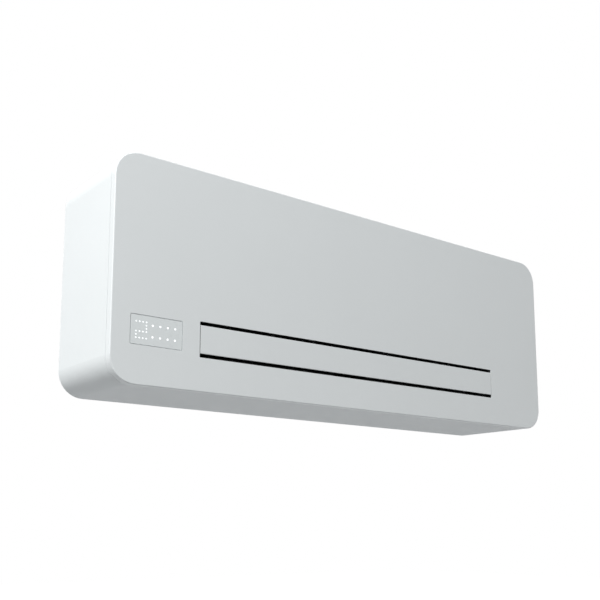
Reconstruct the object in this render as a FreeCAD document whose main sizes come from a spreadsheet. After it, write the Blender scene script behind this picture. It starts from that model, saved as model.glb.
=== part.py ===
import FreeCAD, Part
import math
import operator
import os
from types import SimpleNamespace

import Sketcher

# Wall-mounted fan coil unit
# Millimetres and degrees. +Z is up and the front faces -Y. The origin lies in the wall plane, at the
# middle of the unit. Setbacks are measured from the front face and rises from the underside.

SIZES = {
    # Shell
    "width": 900,
    "height": 325,
    "depth": 165,
    "corner_radius": 38,
    "casing_wall": 2.5,
    "cover_wall": 1.5,
    "cover_depth": 12,
    "cover_edge": 1.5,
    "seam_gap": 0.8,
    "lip_wall": 1.5,
    "lip_length": 6,
    "lip_root": 4,
    "lip_gap": 0.3,
    "side_bay": 112,
    # Wall plate and back panel
    "plate_width": 640,
    "plate_height": 190,
    "plate_wall": 1.5,
    "plate_corner": 8,
    "plate_fold": 8,
    "plate_fold_inset": 14,
    "wall_hole_span_x": 560,
    "wall_hole_span_z": 140,
    "wall_hole_radius": 3.5,
    "plate_window_width": 190,
    "plate_window_height": 100,
    "plate_window_centre": 135,
    "hook_span": 480,
    "hook_width": 40,
    "hook_rise": 12,
    "hook_bend": 1,
    "hook_gap": 1,
    "hook_seat": 0.2,
    "hook_slot_height": 18,
    "hook_slot_side": 3,
    "back_gap": 12.5,
    "back_wall": 1.5,
    "back_clear": 0.3,
    "bead_span": 600,
    "bead_level": 118,
    "bead_width": 8,
    "bead_height": 1.2,
    "service_width": 91,
    "service_height": 96,
    "service_edge": 5,
    "service_rise": 26,
    "service_corner": 10,
    # Bulkheads
    "bulkhead_wall": 1.5,
    "bulkhead_front": 4.5,
    "bulkhead_low": 10,
    "bulkhead_drop": 17,
    "bulkhead_corner": 12,
    "flange_run": 10,
    "hole_clear": 0.2,
    # Screws
    "screw_radius": 2,
    "screw_head_radius": 4,
    "screw_head": 2.6,
    "screw_tail": 4,
    "screw_grip": 10,
    "bulkhead_screw_low": 40,
    "bulkhead_screw_pitch": 110,
    "casing_screw_inset": 55,
    "boss_radius": 5.5,
    "boss_length": 16,
    "boss_sink": 1,
    # Cover clips
    "clip_size": 14,
    "clip_depth": 12,
    "clip_gap": 1.5,
    "clip_low": 30,
    "clip_drop": 45,
    "stud_radius": 3,
    "stud_length": 11,
    "stud_clear": 0.1,
    # Outlet slot and flap
    "slot_margin": 21.5,
    "slot_rise": 49,
    "slot_height": 52,
    "slot_corner": 1.5,
    "flap_gap_low": 5.8,
    "flap_gap_high": 5.4,
    "flap_end_gap": 1.1,
    "flap_edge": 1.6,
    "flap_edge_round": 0.7,
    "flap_thickness": 5,
    "flap_back_height": 24,
    "flap_setback": 12,
    "arm_wall": 3,
    "arm_height": 18,
    "arm_boss": 5,
    "arm_round": 4,
    "flap_pin_radius": 3,
    "flap_pin_clear": 0.05,
    "bush_wall": 2,
    "bush_flange": 1,
    "bush_flange_radius": 7,
    "pin_overrun": 1,
    # Display
    "display_inset": 28.5,
    "display_rise": 54.7,
    "display_width": 81,
    "display_height": 42,
    "display_corner": 2.5,
    "display_gap": 0.8,
    "window_sink": 0.2,
    "window_wall": 1.6,
    "holder_margin": 3.5,
    "holder_depth": 11,
    "holder_rim": 5,
    "holder_floor": 2,
    "board_wall": 1.6,
    "board_clear": 0.5,
    "board_lift": 3,
    "light_size": 3,
    "light_height": 1.5,
    "light_pitch_x": 11.6,
    "light_pitch_z": 16.1,
    "light_first_x": 34.2,
    "light_low": 12.7,
    "digit_width": 18,
    "digit_height": 27,
    "digit_inset": 8,
    "digit_depth": 4,
    # Fan and its air path
    "fan_setback": 81,
    "fan_rise": 124,
    "fan_radius": 48,
    "fan_end_gap": 16,
    "fan_disc_wall": 3,
    "fan_ring_inner": 34,
    "blade_wall": 1.2,
    "blade_radius": 12,
    "blade_centre_out": 34.2,
    "blade_centre_side": 11.9,
    "blade_inner_angle": 81,
    "blade_outer_angle": 10,
    "hub_radius": 12,
    "hub_length": 14,
    "shaft_radius": 4,
    "shaft_clear": 0.05,
    "hub_clear": 0.02,
    "scroll_wall": 2.5,
    "scroll_gap_rear": 8,
    "scroll_gap_low": 13,
    "scroll_bend": 60,
    "scroll_lip_bend": 20,
    "scroll_lip_start": 24,
    "scroll_lip_run": 20,
    "scroll_lip_rise": 16,
    "scroll_end_gap": 0.5,
    "duct_front": 4,
    "duct_step": 1,
    "duct_wall": 2.5,
    "duct_side_gap": 3.5,
    "duct_reach": 58,
    "duct_floor_gap": 0.3,
    "duct_fan_gap": 4,
    "duct_root_setback": 20,
    "tongue_reach": 51.5,
    "tongue_drop": 15.5,
    "tongue_bend": 4,
    "tongue_setback": 0.8,
    "tray_gap": 0.3,
    "seal_margin": 0.5,
    "seal_width": 6,
    # Drip tray
    "tray_front": 8,
    "tray_trough": 12,
    "tray_floor": 133,
    "tray_slope_run": 29,
    "tray_slope_rise": 41,
    "tray_back_lip": 3,
    "tray_end_height": 30,
    "tray_front_height": 63,
    "tray_wall": 2,
    "tray_bend": 5,
    "tray_end_gap": 0.3,
    "spigot_radius": 7,
    "spigot_bore": 5,
    "spigot_length": 18,
    "spigot_setback": 14.5,
    "spigot_rise": 141.5,
    # Vanes
    "vane_setback": 47,
    "vane_wall": 1.6,
    "vane_front": 10.5,
    "vane_rear": 10,
    "vane_height": 41,
    "vane_fan_gap": 6,
    "vane_lift": 0.3,
    "vane_pin_radius": 2,
    "vane_pin_root": 3,
    "vane_pin_clear": 0.05,
    "vane_notch_height": 7,
    "vane_notch_root": 2,
    "crank_reach": 7.5,
    "crank_radius": 1.5,
    "crank_head_radius": 2.3,
    "crank_head": 1,
    "crank_clear": 0.08,
    "bar_width": 6,
    "bar_wall": 3,
    "bar_lift": 2.3,
    "bar_end": 6,
    "bar_seat": 0.2,
    "rail_height": 4,
    "rail_width": 12,
    "rail_end": 12,
    # Coil
    "coil_setback": 75,
    "coil_rise": 234,
    "coil_tilt": 45,
    "coil_length": 132,
    "coil_thickness": 40,
    "coil_end_space": 30,
    "coil_plate_wall": 1.2,
    "coil_plate_margin": 1,
    "tube_radius": 4.76,
    "tube_pitch": 25,
    "row_pitch": 20,
    "tube_clear": 0.05,
    "tube_stub": 5,
    "fin_pitch": 9,
    "fin_slit": 3.5,
    "fin_slit_depth": 4,
    # Water pipes
    "pipe_radius": 6,
    "pipe_wall": 1,
    "pipe_bend": 16,
    "flow_reach": 48.5,
    "return_reach": 88.5,
    "port_rise": 90,
    "port_gap": 6,
    "thread_radius": 10.48,
    "thread_length": 20,
    "port_bore": 7.5,
    "port_bore_depth": 16,
    "nut_radius": 14,
    "nut_length": 10,
    "pipe_hole": 9,
    "valve_radius": 12,
    "valve_top": 45,
    "valve_foot": 14,
    "valve_neck_radius": 8,
    "valve_neck": 16,
    "actuator_radius": 18,
    "actuator_nut_radius": 15,
    "actuator_nut": 9,
    "actuator_length": 44,
    "actuator_edge": 3,
    "vent_radius": 4,
    "vent_height": 16,
    "vent_knob_radius": 6,
    "vent_knob": 6,
    "vent_reach": 30,
    "hose_radius": 7,
    "hose_wall": 2,
    "hose_bend": 20,
    "hose_rise": 46,
    # Fan motor and bearing
    "motor_radius": 38,
    "motor_length": 56,
    "motor_edge": 5,
    "motor_flange_radius": 50,
    "motor_flange_wall": 3,
    "motor_bolt_radius": 44,
    "motor_boss_radius": 14,
    "motor_boss": 4,
    "motor_bore": 26,
    "shaft_seat": 24,
    "grommet_radius": 7,
    "grommet_length": 6,
    "bearing_radius": 8,
    "bearing_length": 12,
    "bearing_bush_radius": 12,
    "bearing_bush_flange": 16,
    "bearing_bush_length": 10,
    # Flap motor
    "stepper_radius": 14,
    "stepper_length": 19,
    "stepper_offset": 8,
    "stepper_ear_wall": 1.5,
    "stepper_ear_span": 38,
    "stepper_ear_radius": 4.5,
    "stepper_bore": 12,
    "stepper_seat": 10,
    "stepper_hole": 5,
    # Control box
    "box_width": 96,
    "box_gap": 1,
    "box_depth": 80,
    "box_height": 112,
    "box_rise": 186,
    "box_wall": 2,
    "box_corner": 4,
    "lid_wall": 2,
    "lid_boss": 4,
    "post_radius": 3,
    "post_height": 6,
    "post_inset": 9,
    "circuit_inset": 5,
    "relay_length": 28,
    "relay_width": 12,
    "relay_height": 16,
    "terminal_length": 62,
    "terminal_width": 14,
    "terminal_height": 18,
    "terminal_step": 7,
    "terminal_pitch": 10,
    "terminal_pocket_depth": 9,
    "grommet_bore": 5,
    "grommet_groove": 8,
    "grommet_outer": 11,
    "cable_hole_reach": 60,
    "cable_hole_rise": 150,
    # Air sensor
    "sensor_radius": 3,
    "sensor_length": 20,
    "sensor_clip": 10,
    "sensor_setback": 48,
    "sensor_drop": 38,
    # Intake
    "intake_front": 25,
    "intake_run": 116,
    "intake_margin": 5.5,
    "intake_corner": 4,
    "frame_gap": 0.3,
    "frame_wall": 3,
    "frame_height": 13,
    "frame_divider": 10,
    "ledge_width": 4,
    "ledge_wall": 2,
    "frame_flange": 6,
    "frame_flange_wall": 2,
    "cassette_gap": 0.4,
    "cassette_drop": 0.3,
    "cassette_plate": 2.6,
    "cassette_wall": 2,
    "cassette_seat": 0.3,
    "grille_slot": 5,
    "grille_pitch": 9,
    "grille_margin": 6,
    "finger_bay": 26,
    "finger_length": 44,
    "finger_width": 14,
    "net_wall": 0.8,
    "net_lift": 1,
    "net_clear": 0.1,
    "net_rim": 3,
    "net_bar": 2.5,
}

BLADE_COUNT = 24
FAN_RING_COUNT = 7
VANES_IN_GROUP = 4
TUBES_IN_ROW = 5
TERMINAL_COUNT = 6
NET_COLUMNS = 16
NET_ROWS = 6
LIGHT_COLUMNS = 4
LIGHT_ROWS = 2
DIAGONAL = math.sqrt(2)


# Sizes that carry their own expressions

OPERATIONS = {"+": operator.add, "-": operator.sub, "*": operator.mul, "/": operator.truediv}


class Size:
    """A number together with the sheet expression that gives it."""

    def __init__(self, value, text):
        self.value = value
        self.text = text

    def __add__(self, other):
        return combine(self, "+", other)

    def __radd__(self, other):
        return combine(other, "+", self)

    def __sub__(self, other):
        return combine(self, "-", other)

    def __rsub__(self, other):
        return combine(other, "-", self)

    def __mul__(self, other):
        return combine(self, "*", other)

    def __rmul__(self, other):
        return combine(other, "*", self)

    def __truediv__(self, other):
        return combine(self, "/", other)

    def __neg__(self):
        return combine(0, "-", self)


def as_size(number):
    if isinstance(number, Size):
        return number
    return Size(float(number), f"({float(number)!r})")


def combine(left, sign, right):
    left, right = as_size(left), as_size(right)
    value = OPERATIONS[sign](left.value, right.value)
    return Size(value, f"({left.text} {sign} {right.text})")


def sine(angle):
    return Size(math.sin(math.radians(angle.value)), f"sin({angle.text})")


def cosine(angle):
    return Size(math.cos(math.radians(angle.value)), f"cos({angle.text})")


doc = FreeCAD.newDocument("FanCoilUnit")
sheet = doc.addObject("Spreadsheet::Sheet", "Sizes")
for row, (name, number) in enumerate(SIZES.items(), start=1):
    sheet.set(f"A{row}", name)
    sheet.set(f"B{row}", str(number))
    sheet.setAlias(f"B{row}", name)
doc.recompute()
D = SimpleNamespace(**{name: Size(float(sheet.get(name)), f"Sizes.{name}") for name in SIZES})
ZERO = as_size(0)
PARTS = []


# Places shared by several pieces

def behind_front(setback):
    """Y of a point that lies a setback behind the front face."""
    return setback - D.depth


def above_base(rise):
    """Z of a point that lies a rise above the underside."""
    return rise - D.height / 2


def below_top(drop):
    """Z of a point that lies a drop below the top."""
    return D.height / 2 - drop


BAY = D.width / 2 - D.casing_wall - D.side_bay
BULKHEAD_INNER = BAY - D.bulkhead_wall
SLOT_HALF = BULKHEAD_INNER - D.slot_margin
PANEL_FRONT = D.back_gap + D.back_wall
FLAP_HEIGHT = D.slot_height - D.flap_gap_low - D.flap_gap_high
FLAP_HALF = SLOT_HALF - D.flap_end_gap
FLAP_LOW = D.slot_rise + D.flap_gap_low
FLAP_AXIS_Y = behind_front(D.flap_setback)
FLAP_AXIS_Z = above_base(FLAP_LOW + FLAP_HEIGHT / 2)
FAN_Y = behind_front(D.fan_setback)
FAN_Z = above_base(D.fan_rise)
FAN_HALF = BULKHEAD_INNER - D.fan_end_gap
FLOOR_Z = above_base(D.slot_rise + D.duct_step)
DUCT_TOP_Z = above_base(D.slot_rise + D.slot_height + D.duct_step)
DUCT_INNER = SLOT_HALF + D.duct_side_gap
DUCT_OUTER = DUCT_INNER + D.duct_wall
RAIL_TOP = FLOOR_Z + D.rail_height
VANE_Y = behind_front(D.vane_setback)
VANE_PITCH = SLOT_HALF / VANES_IN_GROUP
COIL_HALF = BULKHEAD_INNER - D.coil_end_space
COIL_Y = behind_front(D.coil_setback)
COIL_Z = above_base(D.coil_rise)
SPIGOT_Y = behind_front(D.spigot_setback)
SPIGOT_Z = above_base(D.spigot_rise)
DISPLAY_X = D.display_inset + D.display_width / 2 - D.width / 2
DISPLAY_Z = above_base(D.display_rise + D.display_height / 2)
FLOW_X = -BAY - D.flow_reach
RETURN_X = -BAY - D.return_reach
PORT_Z = above_base(D.port_rise)
CABLE_X = BAY + D.cable_hole_reach
CABLE_Z = above_base(D.cable_hole_rise)
MOTOR_X = BAY + D.grommet_length


def coil_point(across, along):
    """Y and Z of a point in the tilted coil, across its thickness and along its slope."""
    lean, upright = sine(D.coil_tilt), cosine(D.coil_tilt)
    return COIL_Y + upright * across + lean * along, COIL_Z - lean * across + upright * along


TUBE_END = D.tube_pitch * (TUBES_IN_ROW - 1) / 2
FLOW_Y, FLOW_Z = coil_point(-D.row_pitch / 2, -TUBE_END)
RETURN_Y, RETURN_Z = coil_point(D.row_pitch / 2, TUBE_END)


# Sketch helpers

def new_body(label):
    body = doc.addObject("PartDesign::Body", label)
    body.Label = label
    PARTS.append(body)
    return body


def origin_of(body, role):
    return next(item for item in body.Origin.OriginFeatures if item.Role == role)


def sketch_on(body, plane, offset=ZERO):
    """A sketch on a plane of the body, moved along the plane's normal."""
    drawing = body.newObject("Sketcher::SketchObject", f"{body.Name}_sketch")
    drawing.AttachmentSupport = [(origin_of(body, plane), "")]
    drawing.MapMode = "FlatFace"
    drawing.setExpression("AttachmentOffset.Base.z", offset.text)
    return drawing


def constrain(drawing, rules):
    """Adds (constraint, size) pairs, and ties each that has a size to the sheet."""
    first = drawing.ConstraintCount
    drawing.addConstraint([rule for rule, _ in rules])
    for index, (_, size) in enumerate(rules, start=first):
        if size is not None:
            drawing.setExpression(f"Constraints[{index}]", size.text)


def point_rules(geometry, end, x, y):
    """The rules that hold one point of a sketch at x and y."""
    rules = []
    for kind, axis, size in (("DistanceX", -2, x), ("DistanceY", -1, y)):
        if abs(size.value) < 1e-9:
            rules.append((Sketcher.Constraint("PointOnObject", geometry, end, axis), None))
        else:
            rules.append((Sketcher.Constraint(kind, -1, 1, geometry, end, size.value), size))
    return rules


def flat(x, y):
    return FreeCAD.Vector(x, y, 0)


def corner_arc(before, at, after, radius):
    """Start, end, centre and turn of the arc that rounds a corner."""
    to_before = (before - at).normalize()
    to_after = (after - at).normalize()
    half = to_before.getAngle(to_after) / 2
    run = radius / math.tan(half)
    centre = at + (to_before + to_after).normalize() * (radius / math.sin(half))
    turn = (at - before).cross(after - at).z
    return at + to_before * run, at + to_after * run, centre, turn


def add_arc(drawing, start, end, centre, turn):
    """Adds an arc and returns its index and which of its ends is the start and the end."""
    first, last = (start, end) if turn > 0 else (end, start)
    angles = [math.atan2(point.y - centre.y, point.x - centre.x) for point in (first, last)]
    ring = Part.Circle(centre, flat(0, 0) + FreeCAD.Vector(0, 0, 1), (start - centre).Length)
    arc = drawing.addGeometry(Part.ArcOfCircle(ring, *angles), False)
    return (arc, 1, 2) if turn > 0 else (arc, 2, 1)


def spot(corner):
    """A corner's x, y and rounding, the last None where the corner is sharp."""
    x, y = as_size(corner[0]), as_size(corner[1])
    return x, y, corner[2] if len(corner) > 2 else None


def outline(drawing, corners):
    """Draws a closed outline through corners given as (x, y) or (x, y, radius)."""
    spots = [spot(corner) for corner in corners]
    points = [flat(x.value, y.value) for x, y, _ in spots]
    count = len(points)
    bends = []
    for index, (_, _, radius) in enumerate(spots):
        if radius is None:
            bends.append((points[index], points[index], None, 0))
        else:
            before, after = points[index - 1], points[(index + 1) % count]
            bends.append(corner_arc(before, points[index], after, radius.value))
    lines = []
    for index in range(count):
        segment = Part.LineSegment(bends[index][1], bends[(index + 1) % count][0])
        lines.append(drawing.addGeometry(segment, False))
    rules = []
    for index, (x, y, radius) in enumerate(spots):
        before, after = lines[index - 1], lines[index]
        rules += corner_rules(drawing, before, after, points[index], bends[index], (x, y, radius))
    constrain(drawing, rules)


def corner_rules(drawing, before, after, point, bend, place):
    """The rules that join two lines at a sharp or rounded corner and hold it in place."""
    x, y, radius = place
    if radius is None:
        joined = Sketcher.Constraint("Coincident", before, 2, after, 1)
        return [(joined, None)] + point_rules(after, 1, x, y)
    arc, first, last = add_arc(drawing, *bend)
    mark = drawing.addGeometry(Part.Point(point), True)
    rules = [
        (Sketcher.Constraint("Tangent", before, 2, arc, first), None),
        (Sketcher.Constraint("Tangent", arc, last, after, 1), None),
        (Sketcher.Constraint("Radius", arc, radius.value), radius),
        (Sketcher.Constraint("PointOnObject", mark, 1, before), None),
        (Sketcher.Constraint("PointOnObject", mark, 1, after), None),
    ]
    return rules + point_rules(mark, 1, x, y)


def strip(drawing, corners, wall, side):
    """Draws a bent sheet from its near line, with the wall to the left (1) or right (-1) of it."""
    spots = [spot(corner) for corner in corners]
    near = [flat(x.value, y.value) for x, y, _ in spots]
    ways = [(end - start).normalize() for start, end in zip(near, near[1:])]
    normals = [flat(-way.y, way.x) * side for way in ways]
    far = [near[0] + normals[0] * wall.value]
    for index in range(1, len(near) - 1):
        spread = normals[index - 1] + normals[index]
        far.append(near[index] + spread * (wall.value / (1 + normals[index - 1].dot(normals[index]))))
    far.append(near[-1] + normals[-1] * wall.value)
    near_bends = bends_of(near, [radius.value if radius else None for _, _, radius in spots])
    far_radii = [None] * len(near)
    for index in range(1, len(near) - 1):
        if spots[index][2]:
            inner = near_bends[index][3] * side > 0
            far_radii[index] = spots[index][2].value + (-wall.value if inner else wall.value)
    far_bends = bends_of(far, far_radii)
    near_lines = chain(drawing, near_bends)
    far_lines = chain(drawing, far_bends)
    rules = point_rules(near_lines[0], 1, *spots[0][:2]) + point_rules(near_lines[-1], 2, *spots[-1][:2])
    for (_, _, radius), near_line, far_line in zip(spots, near_lines, far_lines):
        rules.append((Sketcher.Constraint("Parallel", near_line, far_line), None))
        if radius is None:
            rules.append((Sketcher.Constraint("Distance", far_line, 1, near_line, wall.value), wall))
    for index in range(1, len(near) - 1):
        place, bend = spots[index], near_bends[index]
        before, after = near_lines[index - 1], near_lines[index]
        arc = drawing.GeometryCount
        rules += corner_rules(drawing, before, after, near[index], bend, place)
        before, after = far_lines[index - 1], far_lines[index]
        if place[2] is None:
            rules.append((Sketcher.Constraint("Coincident", before, 2, after, 1), None))
            continue
        outer, first, last = add_arc(drawing, *far_bends[index])
        rules.append((Sketcher.Constraint("Coincident", outer, 3, arc, 3), None))
        rules.append((Sketcher.Constraint("Tangent", before, 2, outer, first), None))
        rules.append((Sketcher.Constraint("Tangent", outer, last, after, 1), None))
    for end, index in ((1, 0), (2, -1)):
        cap = drawing.addGeometry(Part.LineSegment(near[index], far[index]), False)
        rules.append((Sketcher.Constraint("Coincident", cap, 1, near_lines[index], end), None))
        rules.append((Sketcher.Constraint("Coincident", cap, 2, far_lines[index], end), None))
        rules.append((Sketcher.Constraint("Perpendicular", cap, near_lines[index]), None))
    constrain(drawing, rules)


def bends_of(points, radii):
    """The arc at each inner point of an open line, with both ends left sharp."""
    bends = []
    for index, radius in enumerate(radii):
        if radius is None or index in (0, len(points) - 1):
            bends.append((points[index], points[index], None, 0))
        else:
            bends.append(corner_arc(points[index - 1], points[index], points[index + 1], radius))
    return bends


def chain(drawing, bends):
    """Adds the straight runs between the bends of an open line."""
    runs = zip(bends, bends[1:])
    return [drawing.addGeometry(Part.LineSegment(one[1], two[0]), False) for one, two in runs]


def circle(drawing, x, y, radius):
    x, y = as_size(x), as_size(y)
    ring = Part.Circle(flat(x.value, y.value), FreeCAD.Vector(0, 0, 1), radius.value)
    index = drawing.addGeometry(ring, False)
    rules = point_rules(index, 3, x, y)
    rules.append((Sketcher.Constraint("Radius", index, radius.value), radius))
    constrain(drawing, rules)


def rectangle(drawing, low, high, radius=None):
    """An upright rectangle between two opposite corners, rounded where a radius is given."""
    tail = () if radius is None else (radius,)
    corners = ((low[0], low[1]), (high[0], low[1]), (high[0], high[1]), (low[0], high[1]))
    outline(drawing, [corner + tail for corner in corners])


def centred(drawing, x, y, width, height, radius=None):
    half = (width / 2, height / 2)
    rectangle(drawing, (x - half[0], y - half[1]), (x + half[0], y + half[1]), radius)


# Feature helpers

def pad(body, drawing, length, way=1):
    """Adds material along the sketch's normal (1), against it (-1) or half each way (0)."""
    feature = body.newObject("PartDesign::Pad", f"{body.Name}_pad")
    feature.Profile = drawing
    feature.setExpression("Length", length.text)
    feature.SideType = "Symmetric" if way == 0 else "One side"
    feature.Reversed = way < 0
    return feature


def pocket(body, drawing, length, way):
    """Removes material along the sketch's normal (1), against it (-1) or half each way (0)."""
    feature = body.newObject("PartDesign::Pocket", f"{body.Name}_pocket")
    feature.Profile = drawing
    feature.setExpression("Length", length.text)
    feature.SideType = "Symmetric" if way == 0 else "One side"
    feature.Reversed = way > 0
    return feature


def revolve(body, drawing, axis):
    """Turns a sketch right round one of the body's own axes."""
    feature = body.newObject("PartDesign::Revolution", f"{body.Name}_revolution")
    feature.Profile = drawing
    feature.ReferenceAxis = (origin_of(body, axis), [""])
    feature.Angle = 360
    return feature


def mirrored(body, features, plane="YZ_Plane"):
    feature = body.newObject("PartDesign::Mirrored", f"{body.Name}_mirror")
    feature.Originals = features
    feature.MirrorPlane = (origin_of(body, plane), [""])
    body.Tip = feature
    return feature


def in_line(body, features, axis, length, count):
    """Repeats features along an axis, evenly over a length."""
    feature = body.newObject("PartDesign::LinearPattern", f"{body.Name}_pattern")
    feature.Originals = features
    feature.Direction = (origin_of(body, axis), [""])
    feature.Mode = "Extent"
    feature.setExpression("Length", length.text)
    feature.Occurrences = count
    body.Tip = feature
    return feature


def in_ring(body, features, axis, count):
    feature = body.newObject("PartDesign::PolarPattern", f"{body.Name}_ring")
    feature.Originals = features
    feature.Axis = (origin_of(body, axis), [""])
    feature.Angle = 360
    feature.Occurrences = count
    body.Tip = feature
    return feature


def rounded(body, chosen, radius):
    """Rounds the edges of the body that the test chooses."""
    doc.recompute()
    base = body.Tip
    names = [f"Edge{index}" for index, edge in enumerate(base.Shape.Edges, start=1) if chosen(edge)]
    feature = body.newObject("PartDesign::Fillet", f"{body.Name}_fillet")
    feature.Base = (base, names)
    feature.setExpression("Radius", radius.text)
    return feature


def place(piece, x, y, z, axis=(0, 0, 1), angle=ZERO):
    """Sets a piece down at a point, turned about an axis."""
    piece.Placement = FreeCAD.Placement(FreeCAD.Vector(), FreeCAD.Rotation(FreeCAD.Vector(*axis), 1))
    for letter, size in (("x", x), ("y", y), ("z", z)):
        piece.setExpression(f"Placement.Base.{letter}", as_size(size).text)
    piece.setExpression("Placement.Rotation.Angle", angle.text)


QUARTER_TURN = as_size(90)
TURNS = {"X": ((0, 1, 0), QUARTER_TURN), "Y": ((-1, 0, 0), QUARTER_TURN), "Z": ((0, 0, 1), ZERO)}


def rod(x, y, z, axis, radius, length):
    """A cylinder that starts at a point and runs along +X, +Y or +Z."""
    piece = doc.addObject("Part::Cylinder", "rod")
    piece.setExpression("Radius", radius.text)
    piece.setExpression("Height", length.text)
    place(piece, x, y, z, *TURNS[axis])
    return piece


def hexagon(x, y, z, axis, radius, length):
    """A six-sided bar that starts at a point and runs along +X, +Y or +Z."""
    piece = doc.addObject("Part::Prism", "hexagon")
    piece.Polygon = 6
    piece.setExpression("Circumradius", radius.text)
    piece.setExpression("Height", length.text)
    place(piece, x, y, z, *TURNS[axis])
    return piece


def block(low, lengths):
    piece = doc.addObject("Part::Box", "block")
    for name, length in zip(("Length", "Width", "Height"), lengths):
        piece.setExpression(name, as_size(length).text)
    place(piece, *low)
    return piece


def fused(label, pieces):
    piece = doc.addObject("Part::MultiFuse", label)
    piece.Shapes = pieces
    piece.Refine = True
    piece.Label = label
    return piece


def bored(label, pieces, ways):
    """A fused piece with round ways cut through it."""
    piece = doc.addObject("Part::Cut", label)
    piece.Base = fused("solid_form", pieces)
    piece.Tool = fused("ways", ways)
    piece.Refine = True
    piece.Label = label
    return piece


def group(label, pieces):
    """Separate solids that share one node."""
    piece = doc.addObject("Part::Compound", label)
    piece.Links = pieces
    piece.Label = label
    return piece


def keep(piece):
    PARTS.append(piece)
    return piece


def bent_path(points, bend):
    """A wire of straight runs joined by tangent arcs."""
    edges = []
    start = points[0]
    for before, at, after in zip(points, points[1:], points[2:]):
        to_before, to_after = (before - at).normalize(), (after - at).normalize()
        half = to_before.getAngle(to_after) / 2
        run = bend / math.tan(half)
        first, last = at + to_before * run, at + to_after * run
        reach = bend / math.sin(half) - bend
        middle = at + (to_before + to_after).normalize() * reach
        edges.append(Part.LineSegment(start, first).toShape())
        edges.append(Part.Arc(first, middle, last).toShape())
        start = last
    edges.append(Part.LineSegment(start, points[-1]).toShape())
    return Part.Wire(edges)


def bent_tube(label, places, bend, radius, bore=None):
    """A pipe or hose along a route of (x, y, z) places, hollow where a bore is given."""
    points = [FreeCAD.Vector(*(as_size(value).value for value in spot)) for spot in places]
    path = bent_path(points, bend.value)
    way = points[1] - points[0]
    solids = []
    for size in (radius, bore):
        if size is not None:
            ring = Part.Wire([Part.makeCircle(size.value, points[0], way)])
            solids.append(path.makePipeShell([ring], True, False))
    shape = solids[0] if bore is None else solids[0].cut(solids[1])
    piece = doc.addObject("Part::Feature", label)
    piece.Label = label
    piece.Shape = shape
    return keep(piece)


# Shell

def ring_outline(drawing, inset):
    """The unit's rounded outline, drawn in by an inset."""
    centred(drawing, ZERO, ZERO, D.width - inset * 2, D.height - inset * 2, D.corner_radius - inset)


def four_corners(x, z):
    return [(side * x, level * z) for side in (1, -1) for level in (1, -1)]


CASING_DEPTH = D.depth - D.cover_depth - D.seam_gap
BOSS_X = D.width / 2 - D.casing_screw_inset
BOSS_Z = D.height / 2 - D.casing_wall - D.boss_radius + D.boss_sink
INTAKE_HALF = BAY - D.intake_margin
INTAKE_FRONT = behind_front(D.intake_front)
INTAKE_REAR = INTAKE_FRONT + D.intake_run


def casing():
    body = new_body("casing")
    band = sketch_on(body, "XZ_Plane")
    ring_outline(band, ZERO)
    ring_outline(band, D.casing_wall)
    pad(body, band, CASING_DEPTH)
    lip = sketch_on(body, "XZ_Plane", CASING_DEPTH - D.lip_root)
    ring_outline(lip, D.cover_wall + D.lip_gap)
    ring_outline(lip, D.cover_wall + D.lip_gap + D.lip_wall)
    pad(body, lip, D.lip_root + D.lip_length)
    bosses = sketch_on(body, "XZ_Plane", PANEL_FRONT)
    for x, z in four_corners(BOSS_X, BOSS_Z):
        circle(bosses, x, z, D.boss_radius)
    pad(body, bosses, D.boss_length)
    holes = sketch_on(body, "XZ_Plane", PANEL_FRONT)
    for x, z in four_corners(BOSS_X, BOSS_Z):
        circle(holes, x, z, D.screw_radius + D.hole_clear)
    pocket(body, holes, D.boss_length - D.boss_sink, 1)
    opening = sketch_on(body, "XY_Plane", below_top(D.casing_wall * 2))
    rectangle(opening, (-INTAKE_HALF, INTAKE_FRONT), (INTAKE_HALF, INTAKE_REAR), D.intake_corner)
    pocket(body, opening, D.casing_wall * 3, 1)


def front_cover():
    body = new_body("front_cover")
    rear = D.depth - D.cover_depth
    face = sketch_on(body, "XZ_Plane", rear)
    ring_outline(face, ZERO)
    pad(body, face, D.cover_depth)
    front = -D.depth.value
    rounded(body, lambda edge: abs(edge.BoundBox.YMax - front) < 1e-6, D.cover_edge)
    hollow = sketch_on(body, "XZ_Plane", rear)
    ring_outline(hollow, D.cover_wall)
    pocket(body, hollow, D.cover_depth - D.cover_wall, 1)
    openings = sketch_on(body, "XZ_Plane", rear)
    slot_low = above_base(D.slot_rise)
    rectangle(openings, (-SLOT_HALF, slot_low), (SLOT_HALF, slot_low + D.slot_height), D.slot_corner)
    centred(openings, DISPLAY_X, DISPLAY_Z, D.display_width, D.display_height, D.display_corner)
    pocket(body, openings, D.cover_depth * 2, 1)
    studs = sketch_on(body, "XZ_Plane", D.depth - D.cover_wall)
    for x, z in clip_places():
        circle(studs, x, z, D.stud_radius)
    pad(body, studs, D.stud_length, -1)


def clip_places():
    x = BAY + D.clip_size / 2
    return [(side * x, z) for side in (1, -1) for z in (above_base(D.clip_low), below_top(D.clip_drop))]


def cover_clips():
    body = new_body("cover_clips")
    face = sketch_on(body, "XZ_Plane", D.depth - D.cover_wall - D.clip_gap)
    for x, z in clip_places():
        centred(face, x, z, D.clip_size, D.clip_size)
        circle(face, x, z, D.stud_radius + D.stud_clear)
    pad(body, face, D.clip_depth, -1)


def hook_places():
    return [side * D.hook_span / 2 for side in (1, -1)]


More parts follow.
